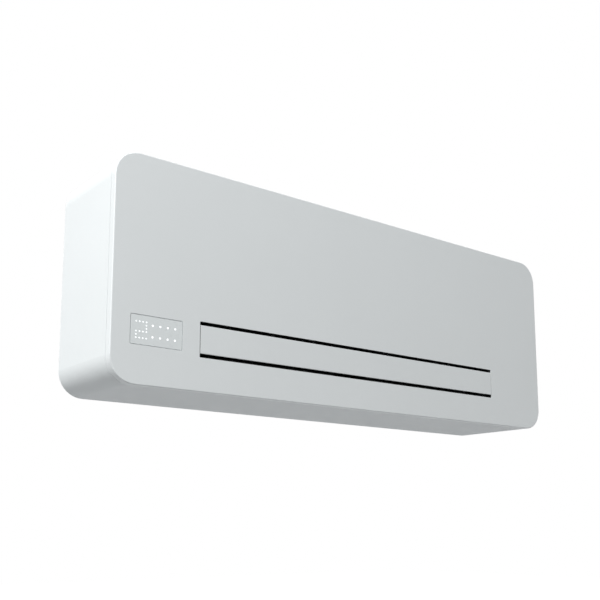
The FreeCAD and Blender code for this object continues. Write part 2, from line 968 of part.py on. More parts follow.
def wall_plate():
    body = new_body("wall_plate")
    sheet_face = sketch_on(body, "XZ_Plane")
    centred(sheet_face, ZERO, ZERO, D.plate_width, D.plate_height, D.plate_corner)
    for x, z in four_corners(D.wall_hole_span_x / 2, D.wall_hole_span_z / 2):
        circle(sheet_face, x, z, D.wall_hole_radius)
    for side in (1, -1):
        window = (D.plate_window_width, D.plate_window_height, D.plate_corner)
        centred(sheet_face, side * D.plate_window_centre, ZERO, *window)
    pad(body, sheet_face, D.plate_wall)
    top = D.plate_height / 2
    reach = PANEL_FRONT + D.hook_gap
    hook = sketch_on(body, "YZ_Plane", (D.hook_span - D.hook_width) / 2)
    strip(hook, [(ZERO, top), (-reach, top, D.hook_bend), (-reach, top + D.hook_rise)], D.plate_wall, 1)
    mirrored(body, [pad(body, hook, D.hook_width)])
    plate_folds(body)


def plate_folds(body):
    """The plate's lower edge and sides, turned towards the unit."""
    drawing = sketch_on(body, "XZ_Plane")
    across, up, inset = D.plate_width / 2, D.plate_height / 2, D.plate_fold_inset
    rectangle(drawing, (inset - across, -up), (across - inset, D.plate_wall - up))
    rectangle(drawing, (-across, inset - up), (D.plate_wall - across, up - inset))
    rectangle(drawing, (across - D.plate_wall, inset - up), (across, up - inset))
    pad(body, drawing, D.plate_fold)


def bulkhead_screw_places():
    """X and Z of the screws that hold both bulkheads' rear flanges."""
    x = BAY + D.flange_run / 2
    rises = [above_base(D.bulkhead_screw_low + D.bulkhead_screw_pitch * step) for step in range(3)]
    return [(side * x, z) for side in (1, -1) for z in rises]


def back_panel():
    body = new_body("back_panel")
    face = sketch_on(body, "XZ_Plane", D.back_gap)
    ring_outline(face, D.casing_wall + D.back_clear)
    slot_top = D.plate_height / 2 + D.hook_seat
    slot_half = D.hook_width / 2 + D.hook_slot_side
    for x in hook_places():
        rectangle(face, (x - slot_half, slot_top - D.hook_slot_height), (x + slot_half, slot_top))
    for x, z in bulkhead_screw_places() + four_corners(BOSS_X, BOSS_Z):
        circle(face, x, z, D.screw_radius + D.hole_clear)
    circle(face, CABLE_X, CABLE_Z, D.grommet_groove)
    left = D.service_edge + D.casing_wall - D.width / 2
    low = above_base(D.service_rise)
    rectangle(face, (left, low), (left + D.service_width, low + D.service_height), D.service_corner)
    pad(body, face, D.back_wall)
    panel_beads(body)


def panel_beads(body):
    """Two stiffening beads, pressed out to the rear."""
    ridge = sketch_on(body, "XZ_Plane", D.back_gap)
    groove = sketch_on(body, "XZ_Plane", PANEL_FRONT)
    wall = D.back_wall * 2
    for drawing, span, width in ((ridge, D.bead_span, D.bead_width),
                                 (groove, D.bead_span - wall, D.bead_width - wall)):
        for level in (1, -1):
            centred(drawing, ZERO, level * D.bead_level, span, width, width * 0.45)
    pad(body, ridge, D.bead_height, -1)
    pocket(body, groove, D.bead_height, -1)


def bulkhead_outline(drawing):
    low, high = above_base(D.bulkhead_low), below_top(D.bulkhead_drop)
    front = behind_front(D.bulkhead_front)
    outline(drawing, [
        (front, low), (-PANEL_FRONT, low),
        (-PANEL_FRONT, high), (front, high, D.bulkhead_corner),
    ])


def bulkhead_flange(body, side):
    """The rear edge, folded outwards against the back panel."""
    low, high = above_base(D.bulkhead_low), below_top(D.bulkhead_drop)
    drawing = sketch_on(body, "XZ_Plane", PANEL_FRONT)
    edges = sorted((side * BULKHEAD_INNER, side * (BAY + D.flange_run)), key=lambda size: size.value)
    rectangle(drawing, (edges[0], low), (edges[1], high))
    for x, z in bulkhead_screw_places():
        if x.value * side > 0:
            circle(drawing, x, z, D.screw_radius + D.hole_clear)
    pad(body, drawing, D.bulkhead_wall)


def left_bulkhead():
    body = new_body("left_bulkhead")
    face = sketch_on(body, "YZ_Plane", -BAY)
    bulkhead_outline(face)
    circle(face, FAN_Y, FAN_Z, D.bearing_bush_radius)
    circle(face, SPIGOT_Y, SPIGOT_Z, D.spigot_radius + D.hole_clear)
    circle(face, FLOW_Y, FLOW_Z, D.pipe_hole)
    circle(face, RETURN_Y, RETURN_Z, D.pipe_hole)
    pad(body, face, D.bulkhead_wall)
    bulkhead_flange(body, -1)


def motor_bolt_places():
    return [(FAN_Y + D.motor_bolt_radius * way[0], FAN_Z + D.motor_bolt_radius * way[1])
            for way in ((0, 1), (-math.sqrt(3) / 2, -0.5), (math.sqrt(3) / 2, -0.5))]


def stepper_screw_places():
    centre = FLAP_AXIS_Y + D.stepper_offset
    return [(centre, FLAP_AXIS_Z + level * D.stepper_ear_span / 2) for level in (1, -1)]


def right_bulkhead():
    body = new_body("right_bulkhead")
    face = sketch_on(body, "YZ_Plane", BULKHEAD_INNER)
    bulkhead_outline(face)
    circle(face, FAN_Y, FAN_Z, D.motor_boss_radius + D.hole_clear)
    for y, z in motor_bolt_places():
        circle(face, y, z, D.screw_radius + D.hole_clear)
    circle(face, FLAP_AXIS_Y, FLAP_AXIS_Z, D.stepper_hole)
    for y, z in stepper_screw_places():
        circle(face, y, z, D.screw_radius + D.hole_clear)
    pad(body, face, D.bulkhead_wall)
    bulkhead_flange(body, 1)


# Intake

FRAME_HALF = INTAKE_HALF - D.frame_gap
FRAME_FRONT = INTAKE_FRONT + D.frame_gap
FRAME_REAR = INTAKE_REAR - D.frame_gap
FRAME_BASE = below_top(D.frame_height)


def frame_bays(inset):
    """The two openings of the intake frame, each drawn in by an inset."""
    near = D.frame_divider / 2 + inset
    far = FRAME_HALF - D.frame_wall - inset
    front = FRAME_FRONT + D.frame_wall + inset
    rear = FRAME_REAR - D.frame_wall - inset
    return [((near, front), (far, rear)), ((-far, front), (-near, rear))]


def intake_frame():
    body = new_body("intake_frame")
    walls = sketch_on(body, "XY_Plane", FRAME_BASE)
    rectangle(walls, (-FRAME_HALF, FRAME_FRONT), (FRAME_HALF, FRAME_REAR), D.intake_corner)
    for low, high in frame_bays(ZERO):
        rectangle(walls, low, high)
    pad(body, walls, D.frame_height)
    ledge = sketch_on(body, "XY_Plane", FRAME_BASE)
    rectangle(ledge, (-FRAME_HALF, FRAME_FRONT), (FRAME_HALF, FRAME_REAR), D.intake_corner)
    for low, high in frame_bays(D.ledge_width):
        rectangle(ledge, low, high)
    pad(body, ledge, D.ledge_wall)
    flange = sketch_on(body, "XY_Plane", below_top(D.casing_wall))
    reach = D.frame_flange
    outer = (FRAME_HALF + reach, FRAME_REAR + reach)
    rectangle(flange, (-outer[0], FRAME_FRONT - reach), outer, D.intake_corner)
    for low, high in frame_bays(ZERO):
        rectangle(flange, low, high)
    pad(body, flange, D.frame_flange_wall, -1)


def cassette_bay(side, inset):
    low, high = frame_bays(D.cassette_gap + inset)[0 if side > 0 else 1]
    return low, high


def filter_grille(label, side):
    body = new_body(label)
    top = below_top(D.cassette_drop)
    plate = sketch_on(body, "XY_Plane", top - D.cassette_plate)
    low, high = cassette_bay(side, ZERO)
    rectangle(plate, low, high)
    middle = (low[1] + high[1]) / 2
    near = low[0] if side > 0 else high[0]
    finger = near + side * D.finger_bay / 2
    centred(plate, finger, middle, D.finger_width, D.finger_length, D.finger_width * 0.45)
    pad(body, plate, D.cassette_plate)
    skirt = sketch_on(body, "XY_Plane", top - D.cassette_plate)
    rectangle(skirt, low, high)
    inner_low, inner_high = cassette_bay(side, D.cassette_wall)
    rectangle(skirt, inner_low, inner_high)
    drop = D.frame_height - D.cassette_drop - D.cassette_plate - D.ledge_wall - D.cassette_seat
    pad(body, skirt, drop, -1)
    slot = sketch_on(body, "XY_Plane", top)
    first = near + side * (D.finger_bay + D.grille_slot / 2)
    length = inner_high[1] - inner_low[1] - D.grille_margin * 2
    centred(slot, first, middle, D.grille_slot, length)
    cut_slot = pocket(body, slot, D.cassette_plate, -1)
    room = (high[0] - low[0]).value - D.finger_bay.value - D.cassette_wall.value - D.grille_margin.value
    count = int((room - D.grille_slot.value) / D.grille_pitch.value) + 1
    row = in_line(body, [cut_slot], "X_Axis", D.grille_pitch * (count - 1), count)
    row.Reversed = side < 0


def filter_net(label, side):
    body = new_body(label)
    low, high = cassette_bay(side, D.cassette_wall + D.net_clear)
    base = FRAME_BASE + D.ledge_wall + D.cassette_seat + D.net_lift
    face = sketch_on(body, "XY_Plane", base)
    rectangle(face, low, high)
    pad(body, face, D.net_wall)
    room_x = high[0] - low[0] - D.net_rim * 2 + D.net_bar
    room_y = high[1] - low[1] - D.net_rim * 2 + D.net_bar
    step_x, step_y = room_x / NET_COLUMNS, room_y / NET_ROWS
    mesh = sketch_on(body, "XY_Plane", base)
    start = (low[0] + D.net_rim, low[1] + D.net_rim)
    rectangle(mesh, start, (start[0] + step_x - D.net_bar, start[1] + step_y - D.net_bar))
    gap = pocket(body, mesh, D.net_wall, 1)
    rows = in_line(body, [gap], "X_Axis", step_x * (NET_COLUMNS - 1), NET_COLUMNS)
    rows.Direction2 = (origin_of(body, "Y_Axis"), [""])
    rows.Mode2 = "Extent"
    rows.setExpression("Length2", (step_y * (NET_ROWS - 1)).text)
    rows.Occurrences2 = NET_ROWS


# Air path

def fan_scroll():
    body = new_body("fan_scroll")
    profile = sketch_on(body, "YZ_Plane")
    rear = FAN_Y + D.fan_radius + D.scroll_gap_rear
    slant = (D.fan_radius + D.scroll_gap_low) * DIAGONAL
    lip_start = FAN_Z + D.scroll_lip_start
    strip(profile, [
        (rear - D.scroll_lip_run, lip_start + D.scroll_lip_rise),
        (rear, lip_start, D.scroll_lip_bend),
        (rear, FAN_Z + (rear - FAN_Y) - slant, D.scroll_bend),
        (FAN_Y + FLOOR_Z - FAN_Z + slant, FLOOR_Z, D.scroll_bend),
        (behind_front(D.duct_front), FLOOR_Z),
    ], D.scroll_wall, 1)
    pad(body, profile, (BULKHEAD_INNER - D.scroll_end_gap) * 2, 0)


def outlet_duct():
    body = new_body("outlet_duct")
    front = behind_front(D.duct_front)
    tip = (FAN_Y - D.tongue_reach, FAN_Z - D.tongue_drop)
    root_z = above_base(D.tray_floor - D.tray_wall - D.tray_gap)
    low = FLOOR_Z + D.duct_floor_gap
    rear = behind_front(D.duct_reach)
    for side in (1, -1):
        end = sketch_on(body, "YZ_Plane", side * DUCT_INNER)
        outline(end, [(front, low), (rear, low), (rear, tip[1]), tip, (front, DUCT_TOP_Z)])
        circle(end, FLAP_AXIS_Y, FLAP_AXIS_Z, D.flap_pin_radius + D.flap_pin_clear + D.bush_wall)
        pad(body, end, D.duct_wall, side)
    clearance = sketch_on(body, "YZ_Plane")
    circle(clearance, FAN_Y, FAN_Z, D.fan_radius + D.duct_fan_gap)
    pocket(body, clearance, DUCT_OUTER * 3, 0)
    upper = sketch_on(body, "YZ_Plane")
    root = (behind_front(D.duct_root_setback), root_z)
    lip = (front + D.tongue_setback, DUCT_TOP_Z)
    strip(upper, [root, tip + (D.tongue_bend,), lip], D.duct_wall, -1)
    pad(body, upper, DUCT_OUTER * 2, 0)


def outlet_seal():
    body = new_body("outlet_seal")
    ring = sketch_on(body, "XZ_Plane", D.depth - D.duct_front)
    centre = above_base(D.slot_rise + D.slot_height / 2)
    inner = (SLOT_HALF * 2 + D.seal_margin * 2, D.slot_height + D.seal_margin * 2)
    centred(ring, ZERO, centre, *inner)
    centred(ring, ZERO, centre, inner[0] + D.seal_width * 2, inner[1] + D.seal_width * 2)
    pad(body, ring, D.duct_front - D.cover_wall)


def drip_tray():
    body = new_body("drip_tray")
    front = behind_front(D.tray_front)
    floor = above_base(D.tray_floor)
    trough = front + D.tray_trough
    back = trough + D.tray_slope_run
    shoulder = floor + D.tray_slope_rise
    half = BULKHEAD_INNER - D.tray_end_gap
    corners = [
        (front, floor + D.tray_front_height),
        (front, floor, D.tray_bend),
        (trough, floor, D.tray_bend),
        (back, shoulder, D.tray_bend),
        (back, shoulder + D.tray_back_lip),
    ]
    profile = sketch_on(body, "YZ_Plane")
    strip(profile, corners, D.tray_wall, -1)
    pad(body, profile, half * 2, 0)
    end = sketch_on(body, "YZ_Plane", half - D.tray_wall)
    brim = floor + D.tray_end_height
    slope = trough + D.tray_slope_run * D.tray_end_height / D.tray_slope_rise
    outline(end, [(front, brim), (front, floor, D.tray_bend), (trough, floor, D.tray_bend), (slope, brim)])
    mirrored(body, [pad(body, end, D.tray_wall)])
    spigot = sketch_on(body, "YZ_Plane", -half)
    circle(spigot, SPIGOT_Y, SPIGOT_Z, D.spigot_radius)
    pad(body, spigot, D.spigot_length, -1)
    bore = sketch_on(body, "YZ_Plane", D.tray_wall - half)
    circle(bore, SPIGOT_Y, SPIGOT_Z, D.spigot_bore)
    pocket(body, bore, D.tray_wall + D.spigot_length, -1)


def drain_hose():
    start = D.tray_end_gap - BULKHEAD_INNER - D.spigot_length
    drop = above_base(D.hose_rise)
    turn = start - D.hose_bend * 0.9
    middle = SPIGOT_Y + D.hose_bend * 2
    route = [
        (start, SPIGOT_Y, SPIGOT_Z),
        (turn, SPIGOT_Y, SPIGOT_Z),
        (turn, middle, SPIGOT_Z - D.hose_bend),
        (turn, middle + D.hose_bend / 2, drop + D.hose_bend),
        (FLOW_X, middle + D.hose_bend * 2, drop),
        (FLOW_X, -D.port_gap, drop),
    ]
    bent_tube("drain_hose", route, D.hose_radius * 1.6, D.hose_radius, D.hose_radius - D.hose_wall)


# Coil

def set_coil(piece):
    """Tilts a coil piece, drawn upright, into its place."""
    place(piece, ZERO, COIL_Y, COIL_Z, (-1, 0, 0), D.coil_tilt)


def tube_places():
    """Across and along each tube, the two tubes of one hairpin together."""
    steps = [D.tube_pitch * (index - (TUBES_IN_ROW - 1) / 2) for index in range(TUBES_IN_ROW)]
    return [[(side * D.row_pitch / 2, along) for side in (-1, 1)] for along in steps]


def coil_fins():
    body = new_body("coil_fins")
    half = COIL_HALF - D.coil_plate_wall
    section = sketch_on(body, "YZ_Plane", -half)
    centred(section, ZERO, ZERO, D.coil_thickness, D.coil_length)
    for pair in tube_places():
        for across, along in pair:
            circle(section, across, along, D.tube_radius + D.tube_clear)
    pad(body, section, half * 2)
    slit = sketch_on(body, "YZ_Plane", D.fin_pitch - half)
    for side in (-1, 1):
        edge = side * D.coil_thickness / 2
        inner = edge - side * D.fin_slit_depth
        left, right = sorted((edge, inner), key=lambda size: size.value)
        rectangle(slit, (left, -D.coil_length / 2), (right, D.coil_length / 2))
    cut_slit = pocket(body, slit, D.fin_slit, 1)
    count = int((half * 2 - D.fin_pitch).value / D.fin_pitch.value)
    in_line(body, [cut_slit], "X_Axis", D.fin_pitch * (count - 1), count)
    set_coil(body)


def half_bend(centre, ring, angle, right):
    """A half-turn bend of tube at one end of the coil, lying at an angle across it."""
    bend = doc.addObject("Part::Torus", "bend")
    bend.setExpression("Radius1", ring.text)
    bend.setExpression("Radius2", D.tube_radius.text)
    bend.Angle3 = 180
    across = FreeCAD.Rotation(FreeCAD.Vector(1, 0, 0), angle)
    facing = FreeCAD.Rotation(FreeCAD.Vector(0, 0, 1), -90 if right else 90)
    bend.Placement = FreeCAD.Placement(FreeCAD.Vector(), across.multiply(facing))
    for letter, size in zip("xyz", centre):
        bend.setExpression(f"Placement.Base.{letter}", size.text)
    return bend


def coil_tubes():
    left = -COIL_HALF - D.tube_stub
    right = COIL_HALF + D.tube_stub
    pieces = []
    places = tube_places()
    for pair in places:
        legs = [rod(left, across, along, "X", D.tube_radius, right - left) for across, along in pair]
        legs.append(half_bend((right, ZERO, pair[0][1]), D.row_pitch / 2, 0, True))
        pieces.append(fused("hairpin", legs))
    slope = math.degrees(math.atan2(D.tube_pitch.value, -D.row_pitch.value))
    ring = Size(math.hypot(D.tube_pitch.value, D.row_pitch.value) / 2,
                f"(sqrt({D.tube_pitch.text} ^ 2 + {D.row_pitch.text} ^ 2) / 2)")
    for lower, upper in zip(places, places[1:]):
        middle = (lower[1][1] + upper[0][1]) / 2
        pieces.append(half_bend((left, ZERO, middle), ring, slope, False))
    tubes = keep(group("coil_tubes", pieces))
    set_coil(tubes)


def coil_end_plates():
    body = new_body("coil_end_plates")
    face = sketch_on(body, "YZ_Plane", COIL_HALF - D.coil_plate_wall)
    size = (D.coil_thickness + D.coil_plate_margin * 2, D.coil_length + D.coil_plate_margin * 2)
    centred(face, ZERO, ZERO, *size)
    for pair in tube_places():
        for across, along in pair:
            circle(face, across, along, D.tube_radius + D.tube_clear)
    plate = pad(body, face, D.coil_plate_wall)
    folds = sketch_on(body, "YZ_Plane", COIL_HALF - D.coil_plate_wall)
    for side in (-1, 1):
        edges = (side * size[0] / 2, side * (size[0] / 2 - D.coil_plate_wall))
        left, right = sorted(edges, key=lambda edge: edge.value)
        rectangle(folds, (left, -size[1] / 2), (right, size[1] / 2))
    flange = pad(body, folds, D.coil_plate_wall + D.coil_end_space)
    mirrored(body, [plate, flange])
    set_coil(body)


# Water side

WATER_WAY = D.pipe_radius - D.pipe_wall
PORT_FRONT = -D.port_gap - D.thread_length - D.nut_length


def port_mouth(x):
    """The wider bore at the end of a port."""
    depth = D.port_bore_depth
    return rod(x, -D.port_gap - depth, PORT_Z, "Y", D.port_bore, depth)


def flow_pipe():
    start = -COIL_HALF - D.tube_stub
    route = [
        (start, FLOW_Y, FLOW_Z),
        (FLOW_X, FLOW_Y, FLOW_Z),
        (FLOW_X, FLOW_Y, PORT_Z),
        (FLOW_X, PORT_FRONT, PORT_Z),
    ]
    bent_tube("flow_pipe", route, D.pipe_bend, D.pipe_radius, WATER_WAY)


def return_pipe():
    start = -COIL_HALF - D.tube_stub
    route = [
        (start, RETURN_Y, RETURN_Z),
        (RETURN_X, RETURN_Y, RETURN_Z),
        (RETURN_X, RETURN_Y, PORT_Z + D.valve_top),
    ]
    bent_tube("return_pipe", route, D.pipe_bend, D.pipe_radius, WATER_WAY)


def flow_union():
    nut = hexagon(FLOW_X, PORT_FRONT, PORT_Z, "Y", D.nut_radius, D.nut_length)
    thread = rod(FLOW_X, PORT_FRONT + D.nut_length, PORT_Z, "Y", D.thread_radius, D.thread_length)
    way = rod(FLOW_X, PORT_FRONT, PORT_Z, "Y", WATER_WAY, D.nut_length + D.thread_length)
    keep(bored("flow_union", [nut, thread], [way, port_mouth(FLOW_X)]))


def water_valve():
    foot, top = PORT_Z - D.valve_foot, PORT_Z + D.valve_top - D.nut_length
    column = rod(RETURN_X, RETURN_Y, foot, "Z", D.valve_radius, top - foot)
    top_nut = hexagon(RETURN_X, RETURN_Y, top, "Z", D.nut_radius, D.nut_length)
    arm = rod(RETURN_X, RETURN_Y, PORT_Z, "Y", D.valve_neck_radius, PORT_FRONT - RETURN_Y)
    nut = hexagon(RETURN_X, PORT_FRONT, PORT_Z, "Y", D.nut_radius, D.nut_length)
    thread = rod(RETURN_X, PORT_FRONT + D.nut_length, PORT_Z, "Y", D.thread_radius, D.thread_length)
    neck_y = RETURN_Y - D.valve_radius - D.valve_neck
    neck = rod(RETURN_X, neck_y, PORT_Z, "Y", D.valve_neck_radius, D.valve_radius + D.valve_neck)
    ways = [
        rod(RETURN_X, RETURN_Y, PORT_Z, "Z", WATER_WAY, D.valve_top),
        rod(RETURN_X, RETURN_Y, PORT_Z, "Y", WATER_WAY, -D.port_gap - RETURN_Y),
        port_mouth(RETURN_X),
    ]
    keep(bored("water_valve", [column, top_nut, arm, nut, thread, neck], ways))


def valve_actuator():
    body = new_body("valve_actuator")
    profile = sketch_on(body, "XZ_Plane")
    radius, length = D.actuator_radius, D.actuator_length
    nut_radius, nut = D.actuator_nut_radius, D.actuator_nut
    outline(profile, [
        (ZERO, ZERO), (nut_radius, ZERO), (nut_radius, nut), (radius, nut),
        (radius, length, D.actuator_edge), (ZERO, length),
    ])
    revolve(body, profile, "Z_Axis")
    front = RETURN_Y - D.valve_radius - D.valve_neck
    place(body, RETURN_X, front, PORT_Z, (1, 0, 0), QUARTER_TURN)


def air_vent():
    base = RETURN_Z + D.pipe_radius
    x = -BAY - D.vent_reach
    stem = rod(x, RETURN_Y, base, "Z", D.vent_radius, D.vent_height)
    knob = hexagon(x, RETURN_Y, base + D.vent_height - D.vent_knob, "Z", D.vent_knob_radius, D.vent_knob)
    keep(fused("air_vent", [stem, knob]))


# Fan

def fan_disc(body, offset, inner=None, way=1):
    drawing = sketch_on(body, "YZ_Plane", offset)
    circle(drawing, ZERO, ZERO, D.fan_radius)
    if inner is not None:
        circle(drawing, ZERO, ZERO, inner)
    return pad(body, drawing, D.fan_disc_wall, way)


def blade_outline(drawing):
    """One forward-curved blade between two concentric arcs."""
    centre = flat(D.blade_centre_out.value, D.blade_centre_side.value)
    angles = [-math.radians(angle.value) for angle in (D.blade_inner_angle, D.blade_outer_angle)]
    radii = [D.blade_radius - D.blade_wall / 2, D.blade_radius + D.blade_wall / 2]
    axis = FreeCAD.Vector(0, 0, 1)
    arcs = []
    rules = []
    for radius in radii:
        ring = Part.ArcOfCircle(Part.Circle(centre, axis, radius.value), *angles)
        arcs.append(drawing.addGeometry(ring, False))
        rules.append((Sketcher.Constraint("Radius", arcs[-1], radius.value), radius))
    rules += point_rules(arcs[0], 3, D.blade_centre_out, D.blade_centre_side)
    rules.append((Sketcher.Constraint("Coincident", arcs[1], 3, arcs[0], 3), None))
    for end, angle, size in zip((1, 2), angles, (D.blade_inner_angle, D.blade_outer_angle)):
        way = flat(math.cos(angle), math.sin(angle))
        ends = [centre + way * radius.value for radius in radii]
        cap = drawing.addGeometry(Part.LineSegment(*ends), False)
        rules.append((Sketcher.Constraint("Coincident", cap, 1, arcs[0], end), None))
        rules.append((Sketcher.Constraint("Coincident", cap, 2, arcs[1], end), None))
        rules.append((Sketcher.Constraint("Angle", cap, angle), -size))
    constrain(drawing, rules)


def fan_impeller():
    body = new_body("fan_impeller")
    inner = FAN_HALF - D.fan_disc_wall
    fan_disc(body, -FAN_HALF)
    drawing = sketch_on(body, "YZ_Plane", -inner)
    blade_outline(drawing)
    blade = pad(body, drawing, inner * 2)
    in_ring(body, [blade], "X_Axis", BLADE_COUNT)
    fan_disc(body, FAN_HALF, way=-1)
    step = FAN_HALF * 2 / (FAN_RING_COUNT + 1)
    ring = fan_disc(body, step - FAN_HALF - D.fan_disc_wall / 2, D.fan_ring_inner)
    in_line(body, [ring], "X_Axis", step * (FAN_RING_COUNT - 1), FAN_RING_COUNT)
    for side in (-1, 1):
        hub = sketch_on(body, "YZ_Plane", side * FAN_HALF)
        circle(hub, ZERO, ZERO, D.hub_radius)
        pad(body, hub, D.hub_length, -side)
        bore = sketch_on(body, "YZ_Plane", side * FAN_HALF)
        circle(bore, ZERO, ZERO, D.shaft_radius + D.hub_clear)
        pocket(body, bore, D.hub_length, -side)
    place(body, ZERO, FAN_Y, FAN_Z)


def fan_shafts():
    """The motor shaft at the right and the stub shaft at the left."""
    start = FAN_HALF - D.hub_length
    motor_shaft = rod(start, FAN_Y, FAN_Z, "X", D.shaft_radius, MOTOR_X + D.shaft_seat - start)
    end = -BULKHEAD_INNER - D.bulkhead_wall / 2 - D.bearing_length / 2 - D.pin_overrun
    stub = rod(end, FAN_Y, FAN_Z, "X", D.shaft_radius, -start - end)
    keep(group("fan_shafts", [motor_shaft, stub]))


def turned(label, corners):
    """A piece turned about the fan axis, from corners given as (x, radius)."""
    body = new_body(label)
    profile = sketch_on(body, "XZ_Plane")
    outline(profile, corners)
    revolve(body, profile, "X_Axis")
    place(body, ZERO, FAN_Y, FAN_Z)
    return body


def fan_bearing():
    middle = -BULKHEAD_INNER - D.bulkhead_wall / 2
    half = D.bearing_length / 2
    bore = D.shaft_radius + D.shaft_clear
    turned("fan_bearing", [
        (middle - half, bore), (middle + half, bore),
        (middle + half, D.bearing_radius), (middle - half, D.bearing_radius),
    ])


def bearing_bush():
    middle = -BULKHEAD_INNER - D.bulkhead_wall / 2
    half = D.bearing_bush_length / 2
    groove = D.bulkhead_wall / 2
    bore, rim = D.bearing_radius + D.hub_clear, D.bearing_bush_flange
    waist = D.bearing_bush_radius - D.hub_clear
    turned("bearing_bush", [
        (middle - half, bore), (middle + half, bore), (middle + half, rim),
        (middle + groove, rim), (middle + groove, waist), (middle - groove, waist),
        (middle - groove, rim), (middle - half, rim),
    ])


def fan_motor():
    bore = D.shaft_radius + D.shaft_clear
    back = MOTOR_X + D.motor_length
    body = turned("fan_motor", [
        (MOTOR_X - D.motor_boss, bore), (MOTOR_X + D.motor_bore, bore),
        (MOTOR_X + D.motor_bore, ZERO), (back, ZERO),
        (back, D.motor_radius, D.motor_edge), (MOTOR_X + D.motor_flange_wall, D.motor_radius),
        (MOTOR_X + D.motor_flange_wall, D.motor_flange_radius), (MOTOR_X, D.motor_flange_radius),
        (MOTOR_X, D.motor_boss_radius), (MOTOR_X - D.motor_boss, D.motor_boss_radius),
    ])
    holes = sketch_on(body, "YZ_Plane", MOTOR_X)
    for y, z in motor_bolt_places():
        circle(holes, y - FAN_Y, z - FAN_Z, D.screw_radius + D.hole_clear)
    pocket(body, holes, D.motor_flange_wall, 1)


def motor_grommets():
    body = new_body("motor_grommets")
    face = sketch_on(body, "YZ_Plane", BAY)
    for y, z in motor_bolt_places():
        circle(face, y, z, D.grommet_radius)
        circle(face, y, z, D.screw_radius + D.hole_clear)
    pad(body, face, D.grommet_length)


# Flap

def flap_panel():
    body = new_body("flap_panel")
    section = sketch_on(body, "YZ_Plane")
    front, back = -D.depth, behind_front(D.flap_thickness)
    edge = behind_front(D.flap_edge)
    low, high = above_base(FLAP_LOW), above_base(FLAP_LOW + FLAP_HEIGHT)
    spine = D.flap_back_height / 2
    outline(section, [
        (front, low, D.flap_edge_round), (edge, low), (back, FLAP_AXIS_Z - spine),
        (back, FLAP_AXIS_Z + spine), (edge, high), (front, high, D.flap_edge_round),
    ])
    pad(body, section, FLAP_HALF * 2, 0)


def flap_arms():
    body = new_body("flap_arms")
    arm = sketch_on(body, "YZ_Plane", FLAP_HALF - D.arm_wall)
    back, tip = behind_front(D.flap_thickness), FLAP_AXIS_Y + D.arm_boss
    wide, slim = D.arm_height / 2, D.arm_boss
    outline(arm, [
        (back, FLAP_AXIS_Z - wide), (tip, FLAP_AXIS_Z - slim, D.arm_round),
        (tip, FLAP_AXIS_Z + slim, D.arm_round), (back, FLAP_AXIS_Z + wide),
    ])
    circle(arm, FLAP_AXIS_Y, FLAP_AXIS_Z, D.flap_pin_radius + D.hub_clear)
    mirrored(body, [pad(body, arm, D.arm_wall)])


def flap_shafts():
    """The pivot pin at the left and the drive shaft at the right."""
    start = FLAP_HALF - D.arm_wall
    end = DUCT_OUTER + D.pin_overrun
    pin = rod(-end, FLAP_AXIS_Y, FLAP_AXIS_Z, "X", D.flap_pin_radius, end - start)
    shaft = rod(start, FLAP_AXIS_Y, FLAP_AXIS_Z, "X", D.flap_pin_radius, BAY + D.stepper_seat - start)
    keep(group("flap_shafts", [pin, shaft]))


def flap_bushes():
    body = new_body("flap_bushes")
    outer = D.flap_pin_radius + D.flap_pin_clear + D.bush_wall
    flange = sketch_on(body, "YZ_Plane", DUCT_INNER)
    sleeve = sketch_on(body, "YZ_Plane", DUCT_INNER)
    for drawing, radius in ((flange, D.bush_flange_radius), (sleeve, outer - D.hub_clear)):
        circle(drawing, FLAP_AXIS_Y, FLAP_AXIS_Z, radius)
        circle(drawing, FLAP_AXIS_Y, FLAP_AXIS_Z, D.flap_pin_radius + D.flap_pin_clear)
    head = pad(body, flange, D.bush_flange, -1)
    tube = pad(body, sleeve, D.duct_wall)
    mirrored(body, [head, tube])


def flap_motor():
    body = new_body("flap_motor")
    centre = FLAP_AXIS_Y + D.stepper_offset
    ears = sketch_on(body, "YZ_Plane", BAY)
    reach = D.stepper_ear_span / 2 + D.stepper_ear_radius
    centred(ears, centre, FLAP_AXIS_Z, D.stepper_ear_radius * 2, reach * 2, D.stepper_ear_radius * 0.9)
    for y, z in stepper_screw_places():
        circle(ears, y, z, D.screw_radius + D.hole_clear)
    pad(body, ears, D.stepper_ear_wall)
    can = sketch_on(body, "YZ_Plane", BAY)
    circle(can, centre, FLAP_AXIS_Z, D.stepper_radius)
    pad(body, can, D.stepper_length)
    bore = sketch_on(body, "YZ_Plane", BAY)
    circle(bore, FLAP_AXIS_Y, FLAP_AXIS_Z, D.flap_pin_radius + D.flap_pin_clear)
    pocket(body, bore, D.stepper_bore, 1)


# Vanes

def vane_rail():
    body = new_body("vane_rail")
    face = sketch_on(body, "XY_Plane", FLOOR_Z)
    half = VANE_PITCH * (VANES_IN_GROUP - 0.5) + D.rail_end
    centred(face, ZERO, VANE_Y, half * 2, D.rail_width)
    for index in range(VANES_IN_GROUP):
        for side in (1, -1):
            x = side * VANE_PITCH * (index + 0.5)
            circle(face, x, VANE_Y, D.vane_pin_radius + D.vane_pin_clear)
    pad(body, face, D.rail_height)


